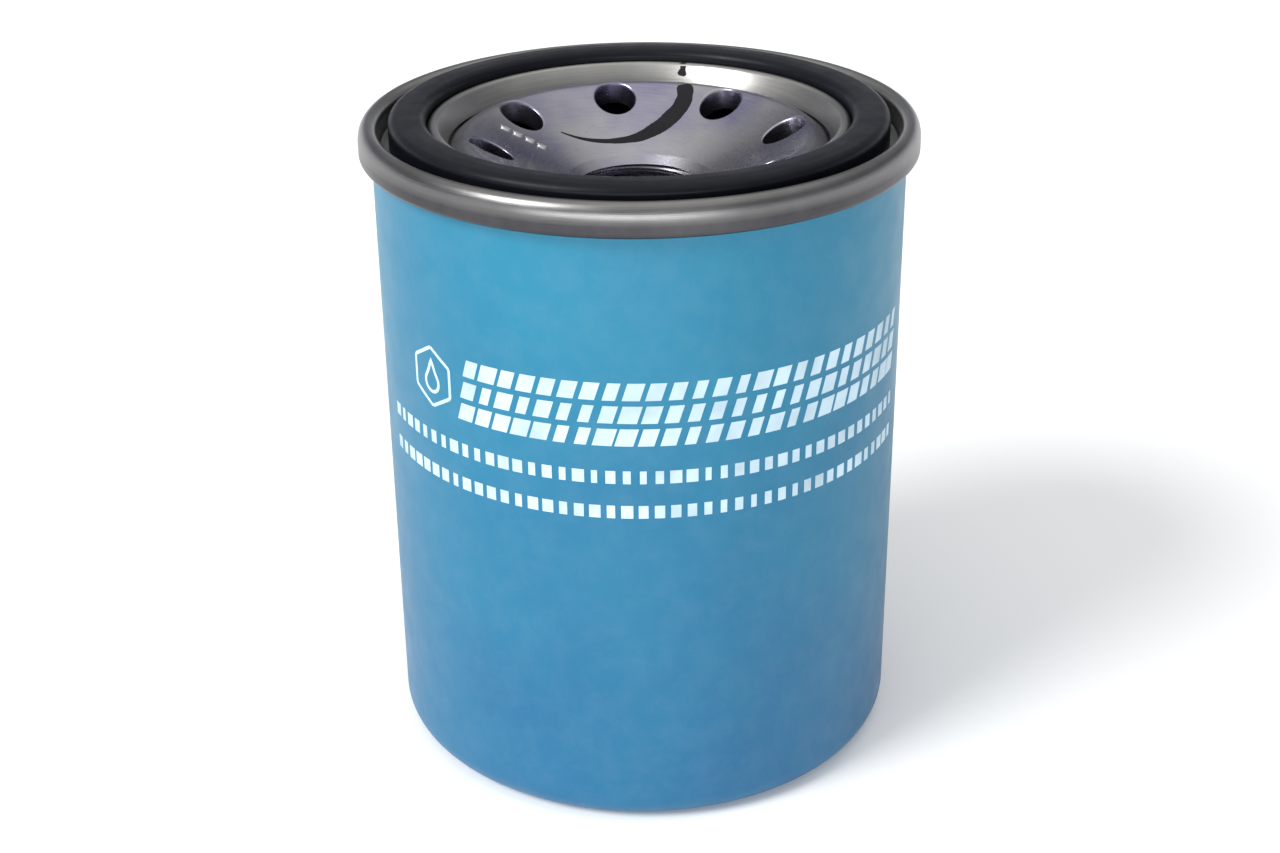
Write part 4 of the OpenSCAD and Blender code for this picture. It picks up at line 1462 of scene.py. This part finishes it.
class FILTER_OT_pleats(Operator):
    """Folds the filter paper round the centre tube"""

    bl_idname = "filter.pleats"
    bl_label = "Pleated paper"

    def execute(self, context):
        tree = geometry_tree("folded_pleats", [
            ("Pleats", INTEGER, 48), ("Inner radius", FLOAT, 0.015), ("Outer radius", FLOAT, 0.033),
            ("Bottom", FLOAT, 0.01), ("Top", FLOAT, 0.07), ("Unevenness", FLOAT, 0.0)],
            build_pleats)
        paper = start_piece("pleated_paper", [(0, 0, 0)])
        run_tree(paper, tree, {
            "Pleats": sizes().pleats, "Inner radius": PAPER_RADIUS + PAPER / 2 + 0.15 * MM,
            "Outer radius": reach("pleated_media") - PAPER / 2 - 0.05 * MM,
            "Bottom": low("pleated_media"), "Top": high("pleated_media"), "Unevenness": 0.03,
            "Material": bpy.data.materials["folded_paper"]})
        wall = paper.modifiers.new("wall", "SOLIDIFY")
        wall.thickness, wall.offset = PAPER, 0.0
        keep_mesh(paper)
        seat(face_out(paper, recalculate=True), "element", "filter_paper", "pleated_media")
        return {"FINISHED"}


class FILTER_OT_centre_tube(Operator):
    """Perforates the tube that carries the pleats"""

    bl_idname = "filter.centre_tube"
    bl_label = "Centre tube"

    def execute(self, context):
        tree = geometry_tree("perforated_tube", [
            ("Radius", FLOAT, 0.015), ("Wall", FLOAT, 0.0005), ("Bottom", FLOAT, 0.01),
            ("Top", FLOAT, 0.07),
            ("Margin", FLOAT, 0.0016), ("Holes round", INTEGER, 8), ("Rows", INTEGER, 7),
            ("Hole", FLOAT, 0.0032),
        ], build_perforated_tube)
        tube = start_piece("perforated_tube", [(0, 0, 0)])
        run_tree(tube, tree, {
            "Radius": reach("centre_tube"), "Wall": TUBE_WALL, "Bottom": low("centre_tube"),
            "Top": high("centre_tube"), "Margin": TUBE_MARGIN, "Holes round": sizes().tube_holes,
            "Rows": sizes().tube_rows, "Hole": TUBE_HOLE,
            "Material": bpy.data.materials["cap_sheet"]})
        seat(face_out(tube), "element", "cap_steel", "centre_tube")
        return {"FINISHED"}


class FILTER_OT_bypass_valve(Operator):
    """Turns the bypass valve's seal, poppet and retainer"""

    bl_idname = "filter.bypass_valve"
    bl_label = "Bypass valve"

    def execute(self, context):
        seal = ring_outline(
            reach("bypass_seal"), 4 * MM, low("bypass_seal"), high("bypass_seal"), 0.2 * MM)
        seat(turned("bypass_seal_rubber", seal, "valve_black", 96),
             "bypass_valve", "valve_rubber", "bypass_seal")
        base, top, disc = low("bypass_poppet"), high("bypass_poppet"), reach("bypass_poppet")
        face = base + 0.8 * MM
        profile = soften([
            (0, base), (disc, base), (disc, face), (STEM_RADIUS, face), (STEM_RADIUS, top), (0, top)],
            [0, 0.15 * MM, 0.25 * MM, 0.3 * MM, 0.4 * MM, 0])
        seat(turned("bypass_poppet_disc", profile, "cap_sheet", 96),
             "bypass_valve", "cap_steel", "bypass_poppet")
        ring = ring_outline(
            reach("bypass_retainer"), STEM_RADIUS + 0.1 * MM, low("bypass_retainer"),
            high("bypass_retainer"), 0.15 * MM)
        seat(turned("bypass_retainer_ring", ring, "cap_sheet", 96),
             "element", "cap_steel", "bypass_retainer")
        return {"FINISHED"}


class FILTER_OT_springs(Operator):
    """Winds the support spring and the bypass spring"""

    bl_idname = "filter.springs"
    bl_label = "Springs"

    def execute(self, context):
        base, top = low("support_spring"), high("support_spring")
        wire = sizes().support_wire
        mean = reach("support_spring") - wire / 2
        support = spring("support_coil", mean, wire, top - base, 1.0, base)
        seat(support, "shell", "spring_steel", "support_spring")
        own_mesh(support)
        base, top = low("bypass_spring"), high("bypass_spring")
        wire = sizes().bypass_wire
        mean = reach("bypass_spring") - wire / 2
        bypass = spring("bypass_coil", mean, wire, top - base, 2.0, base)
        seat(bypass, "element", "spring_steel", "bypass_spring")
        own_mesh(bypass)
        return {"FINISHED"}


class FILTER_OT_carried_pieces(Operator):
    """Gives the CAD pieces that stay as they are their finishes"""

    bl_idname = "filter.carried_pieces"
    bl_label = "Carried pieces"

    def execute(self, context):
        for node, finish_name, slot in (
                ("seam_sealant", "seam_sealer", "seam_compound"),
                ("media_seam_clip", "cap_sheet", "cap_steel"),
                ("bypass_housing", "cap_sheet", "cap_steel")):
            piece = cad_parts[node]
            paint(piece, finish_name)
        return {"FINISHED"}


# ---------------------------------------------------------------- studio


def aimed(name, data, at, towards):
    """An object that shines along a direction from a place."""
    holder = bpy.data.objects.new(name, data)
    bpy.context.scene.collection.objects.link(holder)
    holder.location = at
    holder.rotation_euler = towards.to_track_quat("-Z", "Y").to_euler()
    return holder


def seen(x, y, z):
    """A point given as the viewer sees it, with +Y away from the viewer."""
    return Matrix.Rotation(TURN_OF_VIEW, 3, "Z") @ Vector((x, y, z))


class FILTER_OT_stage(Operator):
    """Sets the pale floor, the soft lights and the camera"""

    bl_idname = "filter.stage"
    bl_label = "Studio"

    def execute(self, context):
        scene = context.scene
        scene.view_settings.view_transform = "Standard"
        self.set_floor()
        self.fill_air(scene)
        self.set_lights()
        self.set_camera(scene)
        return {"FINISHED"}


    def set_floor(self):
        """Lays a pale paper floor that runs far past the view."""
        size = 60.0
        corners = [(-size, -size, 0), (size, -size, 0), (size, size, 0), (-size, size, 0)]
        floor = start_piece("studio_floor", corners, (), [(0, 1, 2, 3)])
        f = Finish("studio_paper", Specular_IOR_Level=0.1, Roughness=0.9,
                   Emission_Color=(1, 0.99, 0.97, 1), Emission_Strength=0.1)
        cloud = noise(f.tree, f.where, 6.0)
        f.feed(Base_Color=blend(f.tree, cloud, (0.93, 0.93, 0.935), (0.95, 0.95, 0.95)))
        paint(floor, "studio_paper")

    def fill_air(self, scene):
        """Lights the room from above, with a bright band at the horizon."""
        world = bpy.data.worlds.new("studio_air")
        scene.world = world
        world.use_nodes = True
        air = world.node_tree
        sky = air.nodes["Background"].inputs
        way = place(air, "ShaderNodeTexCoord").outputs["Generated"]
        up = place(air, "ShaderNodeSeparateXYZ", {0: way}).outputs["Z"]
        colour = blend(air, ramp(air, up, 0.2, 0.95), (0.88, 0.90, 1.0), (1.0, 1.0, 0.97))
        air.links.new(colour, sky["Color"])
        horizon = ramp(air, up, 0.07, 0.22, 1.0, 0.0)
        overhead = ramp(air, up, 0.45, 0.98, 0.24, 1.15)
        air.links.new(calc(air, "ADD", horizon, overhead), sky["Strength"])

    def set_lights(self):
        """Hangs a wide soft key from the left and a low strip in front."""
        key = bpy.data.lights.new("key", "SUN")
        key.energy, key.angle = 2.3, math.radians(24)
        aimed("key", key, (0, 0, 0), -seen(-0.96, -0.60, 1.02))
        strip = bpy.data.lights.new("strip", "AREA")
        strip.shape, strip.size, strip.size_y, strip.energy = "RECTANGLE", 1.5, 0.12, 6.5
        at, middle = seen(-0.15, -1.1, 0.16), Vector((0, 0, 0.09))
        aimed("strip", strip, at, middle - at).visible_camera = False

    def set_camera(self, scene):
        """Stands the camera in front of the filter and above it."""
        lens = bpy.data.cameras.new("camera")
        lens.sensor_width, lens.lens = 36.0, 56.12
        lens.clip_start, lens.clip_end = 0.01, 20
        camera = bpy.data.objects.new("camera", lens)
        scene.collection.objects.link(camera)
        pitch, yaw, roll = 0.44718, -0.00118, -0.01029
        flat = math.cos(pitch)
        ahead = Vector((math.sin(yaw) * flat, math.cos(yaw) * flat, -math.sin(pitch)))
        level = ahead.cross(Vector((0, 0, 1))).normalized()
        upright = level.cross(ahead)
        right = level * math.cos(roll) + upright * math.sin(roll)
        up = upright * math.cos(roll) - level * math.sin(roll)
        look = Matrix((right, up, -ahead)).transposed()
        camera.matrix_world = (
            Matrix.Translation(seen(0, -0.27447, 0.17719))
            @ (Matrix.Rotation(TURN_OF_VIEW, 3, "Z") @ look).to_4x4())
        scene.camera = camera


# ---------------------------------------------------------------- add-on

STEPS = (
    FILTER_OT_finishes, FILTER_OT_can, FILTER_OT_lid, FILTER_OT_gasket, FILTER_OT_welds,
    FILTER_OT_base_plate, FILTER_OT_stamped_marks, FILTER_OT_pen_stroke, FILTER_OT_print,
    FILTER_OT_drain_valve, FILTER_OT_end_caps, FILTER_OT_pleats, FILTER_OT_centre_tube,
    FILTER_OT_bypass_valve, FILTER_OT_springs, FILTER_OT_carried_pieces, FILTER_OT_stage,
)


class FILTER_PT_panel(Panel):
    """Lists the filter's sizes, finishes and building steps"""

    bl_idname = "FILTER_PT_panel"
    bl_label = "Oil filter"
    bl_space_type = "VIEW_3D"
    bl_region_type = "UI"
    bl_category = "Oil filter"

    def draw(self, context):
        layout = self.layout
        for group in (context.scene.filter_sizes, context.scene.filter_finish):
            column = layout.column(align=True)
            for key in group.bl_rna.properties.keys():
                if key not in ("rna_type", "name"):
                    column.prop(group, key)
        for step in STEPS:
            layout.operator(step.bl_idname)


CLASSES = (FilterSizes, FilterFinish, *STEPS, FILTER_PT_panel)


def register():
    """Registers the classes and hangs the sizes and colours on the scene."""
    for made in CLASSES:
        bpy.utils.register_class(made)
    bpy.types.Scene.filter_sizes = PointerProperty(type=FilterSizes)
    bpy.types.Scene.filter_finish = PointerProperty(type=FilterFinish)


def unregister():
    """Takes back what register did."""
    del bpy.types.Scene.filter_finish
    del bpy.types.Scene.filter_sizes
    for made in reversed(CLASSES):
        bpy.utils.unregister_class(made)


def main():
    """Registers the add-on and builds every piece."""
    register()
    for step in STEPS:
        group, name = step.bl_idname.split(".")
        getattr(getattr(bpy.ops, group), name)()


if __name__ == "__main__":
    main()
